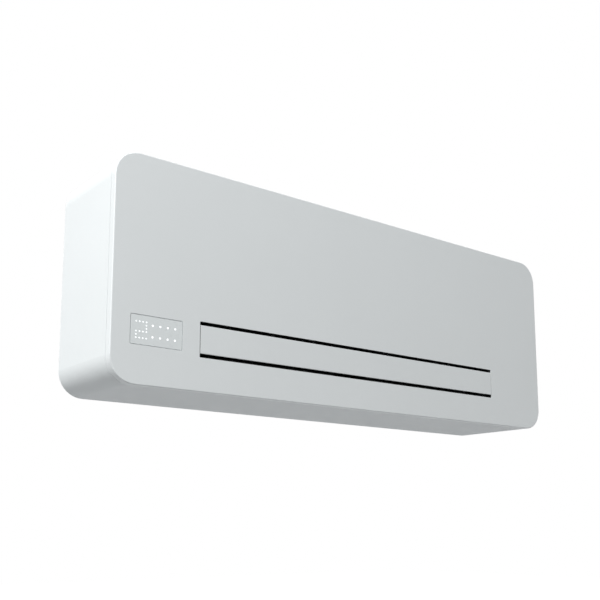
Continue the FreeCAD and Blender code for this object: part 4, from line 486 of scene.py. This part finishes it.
def fin_pack():
    """The close-set fins of the coil, which leans back towards the wall."""
    low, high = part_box("coil_fins")
    middle = (low + high) / 2
    first = low.x + FIN_WALL / 2
    reach = high.x - low.x - FIN_WALL
    count = round(reach / FIN_PITCH)
    mesh = bmesh.new()
    for index in range(count + 1):
        middle.x = first + reach * index / count
        add_block(mesh, middle, (FIN_WALL, COIL_THICKNESS, COIL_LENGTH), COIL_LEAN)
    piece = make_piece("fin_pack", mesh, "fin_aluminium", "unit")
    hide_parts("coil_fins")


# Water ports

ALONG_AXIS = {"Y": Matrix.Rotation(math.radians(-90), 4, "X"), "Z": Matrix.Identity(4)}
BAR_SIDES = 32
BAR_EDGE = 0.6 * MM
NUT_SIDES = 6
NUT_EDGE = 0.8 * MM
NUT_RADIUS = 14 * MM
NUT_LENGTH = 10 * MM
STUB_SIDES = 40
THREAD_RADIUS = 10.48 * MM
THREAD_ROOT = 9.3 * MM
THREAD_PITCH = 1.8 * MM
THREAD_TURNS = 10
THREAD_LENGTH = 20 * MM
PORT_BORE = 7.5 * MM
PORT_DEPTH = 16 * MM
WATER_WAY = 5 * MM
WAY_END = 0.3 * MM
VALVE_RADIUS = 12 * MM
VALVE_NECK_RADIUS = 8 * MM
VALVE_NECK_LENGTH = 16 * MM
VALVE_FOOT = 14 * MM
VALVE_TOP = 45 * MM


def turned_bar(mesh, start, axis, radius, length, sides=BAR_SIDES, edge=BAR_EDGE):
    """A round or six-sided bar with broken end edges, from its start along an axis."""
    place = Matrix.Translation(start) @ ALONG_AXIS[axis] @ Matrix.Translation((0, 0, length / 2))
    made = bmesh.ops.create_cone(mesh, cap_ends=True, segments=sides, radius1=radius, radius2=radius,
                                 depth=length, matrix=place)
    # Only the two end faces have more than four corners
    rims = [rim for rim in edges_of(made) if any(len(face.verts) > 4 for face in rim.link_faces)]
    break_edges(mesh, rims, edge)


def add_nut(mesh, start, axis):
    """A six-sided nut, from its start along an axis."""
    turned_bar(mesh, start, axis, NUT_RADIUS, NUT_LENGTH, NUT_SIDES, NUT_EDGE)


def threaded_stub(mesh, start):
    """A hollow pipe end with the ridges of an outside thread, from its start towards the wall."""
    x, y, z = start
    seat = THREAD_LENGTH - PORT_DEPTH
    outline = [(0, 0), (THREAD_ROOT, 0)]
    for turn in range(THREAD_TURNS):
        outline.append((THREAD_RADIUS, THREAD_PITCH * (turn + 0.5)))
        outline.append((THREAD_ROOT, THREAD_PITCH * (turn + 1)))
    outline += [(THREAD_ROOT, THREAD_LENGTH), (PORT_BORE, THREAD_LENGTH), (PORT_BORE, seat),
                (WATER_WAY, seat), (WATER_WAY, WAY_END), (0, WAY_END)]
    points = [mesh.verts.new((x + radius, y + along, z)) for radius, along in outline]
    lines = [mesh.edges.new(pair) for pair in zip(points, points[1:])]
    bmesh.ops.spin(mesh, geom=points + lines, cent=start, axis=(0, 1, 0), angle=math.tau,
                   steps=STUB_SIDES, use_merge=True)


def port_end(mesh, x, nut_y, z):
    """A union nut and the threaded pipe end behind it."""
    add_nut(mesh, (x, nut_y, z), "Y")
    threaded_stub(mesh, (x, nut_y + NUT_LENGTH, z))


def brass_union():
    """The flow port."""
    low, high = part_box("flow_union")
    mesh = bmesh.new()
    port_end(mesh, (low.x + high.x) / 2, low.y, (low.z + high.z) / 2)
    close_seams(mesh)
    piece = make_piece("brass_union", mesh, "machined_brass", "unit")
    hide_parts("flow_union")


def brass_valve():
    """The return port with its valve body, which stands behind the actuator."""
    low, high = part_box("valve_actuator")
    x = (low.x + high.x) / 2
    z = (low.z + high.z) / 2
    body_y = high.y + VALVE_NECK_LENGTH + VALVE_RADIUS
    body_length = VALVE_FOOT + VALVE_TOP - NUT_LENGTH
    nut_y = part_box("flow_union")[0].y
    mesh = bmesh.new()
    turned_bar(mesh, (x, body_y, z - VALVE_FOOT), "Z", VALVE_RADIUS, body_length)
    add_nut(mesh, (x, body_y, z + VALVE_TOP - NUT_LENGTH), "Z")
    turned_bar(mesh, (x, high.y, z), "Y", VALVE_NECK_RADIUS, nut_y - high.y)
    port_end(mesh, x, nut_y, z)
    close_seams(mesh)
    piece = make_piece("brass_valve", mesh, "machined_brass", "unit")
    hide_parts("water_valve")


# Casing screws at the rear

SCREW_X = 395 * MM
SCREW_Z = 155.5 * MM
SCREW_PLACES = [(x, z) for x in (SCREW_X, -SCREW_X) for z in (SCREW_Z, -SCREW_Z)]
SCREW_TOP_Y = -9.9 * MM
SCREW_RADIUS = 4 * MM
CROWN_HEIGHT = 1.1 * MM
CROWN_EDGE = 0.9 * MM
CROSS_LENGTH = 4.4 * MM
CROSS_WIDTH = 1.0 * MM
CROSS_DEPTH = 0.4 * MM
CROSS_SINK = 0.15 * MM
CROSS_EDGE = 0.15 * MM


def screw_crowns():
    """The rounded tops of the casing screws, half sunk into their heads."""
    mesh = bmesh.new()
    for x, z in SCREW_PLACES:
        start = (x, SCREW_TOP_Y - CROWN_HEIGHT, z)
        turned_bar(mesh, start, "Y", SCREW_RADIUS, CROWN_HEIGHT * 2, edge=CROWN_EDGE)
    close_seams(mesh)
    make_piece("screw_crowns", mesh, "bright_steel", "unit")


def screw_recess_painted_shade():
    """A dark cross in each crown, painted shade that stands for its recess."""
    y = SCREW_TOP_Y + CROWN_HEIGHT - CROSS_SINK
    mesh = bmesh.new()
    for x, z in SCREW_PLACES:
        for width, height in ((CROSS_LENGTH, CROSS_WIDTH), (CROSS_WIDTH, CROSS_LENGTH)):
            made = add_block(mesh, (x, y, z), (width, CROSS_DEPTH, height))
            break_edges(mesh, edges_of(made), CROSS_EDGE)
    # The black cross is painted shade in place of the screw's recess
    make_piece("screw_recess_painted_shade", mesh, "matt_black", "unit")


def add_pieces():
    """Every piece that is added to the solids or stands for one of them."""
    display_lamps()
    flap_end_seals_painted_shade()
    filter_mesh("left")
    filter_mesh("right")
    fin_pack()
    brass_union()
    brass_valve()
    screw_crowns()
    screw_recess_painted_shade()


# Floor and room. The room's strength differs as a light and as the camera sees it.

FLOOR_LEVEL = -2.2
FLOOR_REACH = 30
FLOOR_COLOUR = (0.5, 0.506, 0.513)
FLOOR_GLOW = 0.88
ROOM_LIGHT = 0.4
ROOM_SEEN = 1.0


def seen_rays(owner):
    """One for rays from the camera and for those it sees in gloss or through glass."""
    path = add_node(owner, "ShaderNodeLightPath")
    seen = path.outputs["Is Camera Ray"]
    for name in ("Is Glossy Ray", "Is Transmission Ray"):
        either = add_node(owner, "ShaderNodeMath")
        either.operation = "MAXIMUM"
        wire(owner, seen, either.inputs[0])
        wire(owner, path.outputs[name], either.inputs[1])
        seen = either.outputs[0]
    return seen


def soft_white(name, colour, glow):
    """A pale surface that looks white to the camera and still takes a shadow."""
    finish = bpy.data.materials.new(name)
    finish.use_nodes = True
    finish.node_tree.nodes.clear()
    matt = add_node(finish, "ShaderNodeBsdfDiffuse")
    matt.inputs["Color"].default_value = (*colour, 1)
    strength = add_node(finish, "ShaderNodeMath")
    strength.operation = "MULTIPLY"
    strength.inputs[1].default_value = glow
    wire(finish, seen_rays(finish), strength.inputs[0])
    lift = add_node(finish, "ShaderNodeEmission")
    wire(finish, strength.outputs[0], lift.inputs["Strength"])
    both = add_node(finish, "ShaderNodeAddShader")
    wire(finish, matt.outputs[0], both.inputs[0])
    wire(finish, lift.outputs[0], both.inputs[1])
    output = add_node(finish, "ShaderNodeOutputMaterial")
    wire(finish, both.outputs[0], output.inputs["Surface"])
    return finish


def make_floor():
    """A wide pale floor, well below the unit."""
    mesh = bmesh.new()
    bmesh.ops.create_grid(mesh, x_segments=1, y_segments=1, size=FLOOR_REACH)
    floor = add_object("floor", mesh, soft_white("floor_white", FLOOR_COLOUR, FLOOR_GLOW))
    floor.location = (0, 0, FLOOR_LEVEL)


def make_world():
    """A white room that lights the unit evenly and softly."""
    world = bpy.data.worlds.new("studio")
    bpy.context.scene.world = world
    world.use_nodes = True
    background = world.node_tree.nodes["Background"]
    background.inputs["Color"].default_value = (1, 1, 1, 1)
    strength = add_node(world, "ShaderNodeMapRange")
    strength.inputs["To Min"].default_value = ROOM_LIGHT
    strength.inputs["To Max"].default_value = ROOM_SEEN
    wire(world, seen_rays(world), strength.inputs["Value"])
    wire(world, strength.outputs["Result"], background.inputs["Strength"])


# Lights and camera. The turn and the tilt are in radians, the lens and the sensor in millimetres.

LIGHTS = {
    "left_window": {"place": (-3.1, -1.62, 2.46), "target": (-0.1, -0.1, 0), "size": 1.2, "power": 178},
    "right_fill": {"place": (2.8, 1.2, 1.4), "target": (0, 0, 0), "size": 2.2, "power": 22},
}
CAMERA_PLACE = (-0.9565, -1.2178, -0.355)
CAMERA_TURN = 0.6635
CAMERA_TILT = 0.1577
CAMERA_LENS = 53.3389
CAMERA_RISE = 0.15
SENSOR_WIDTH = 36


def soft_light(name, place, target, size, power):
    """A square lamp that faces its target."""
    lamp = bpy.data.lights.new(name, "AREA")
    lamp.shape = "SQUARE"
    lamp.size = size
    lamp.energy = power
    item = bpy.data.objects.new(name, lamp)
    item.location = place
    item.rotation_euler = (Vector(target) - Vector(place)).to_track_quat("-Z", "Y").to_euler()
    bpy.context.scene.collection.objects.link(item)


def make_lights():
    """A window at the upper left and a weak fill from the right rear."""
    for name, values in LIGHTS.items():
        soft_light(name, **values)


def make_camera():
    """The photo's view, from below left."""
    camera = bpy.data.cameras.new("camera")
    camera.sensor_fit = "HORIZONTAL"
    camera.sensor_width = SENSOR_WIDTH
    camera.lens = CAMERA_LENS
    camera.shift_y = CAMERA_RISE
    item = bpy.data.objects.new("camera", camera)
    item.location = CAMERA_PLACE
    item.rotation_euler = (math.pi / 2 + CAMERA_TILT, 0, -CAMERA_TURN)
    bpy.context.scene.collection.objects.link(item)
    bpy.context.scene.camera = item


dress_nodes()
add_pieces()
make_floor()
make_world()
make_lights()
make_camera()
bpy.context.scene.view_settings.view_transform = "Standard"
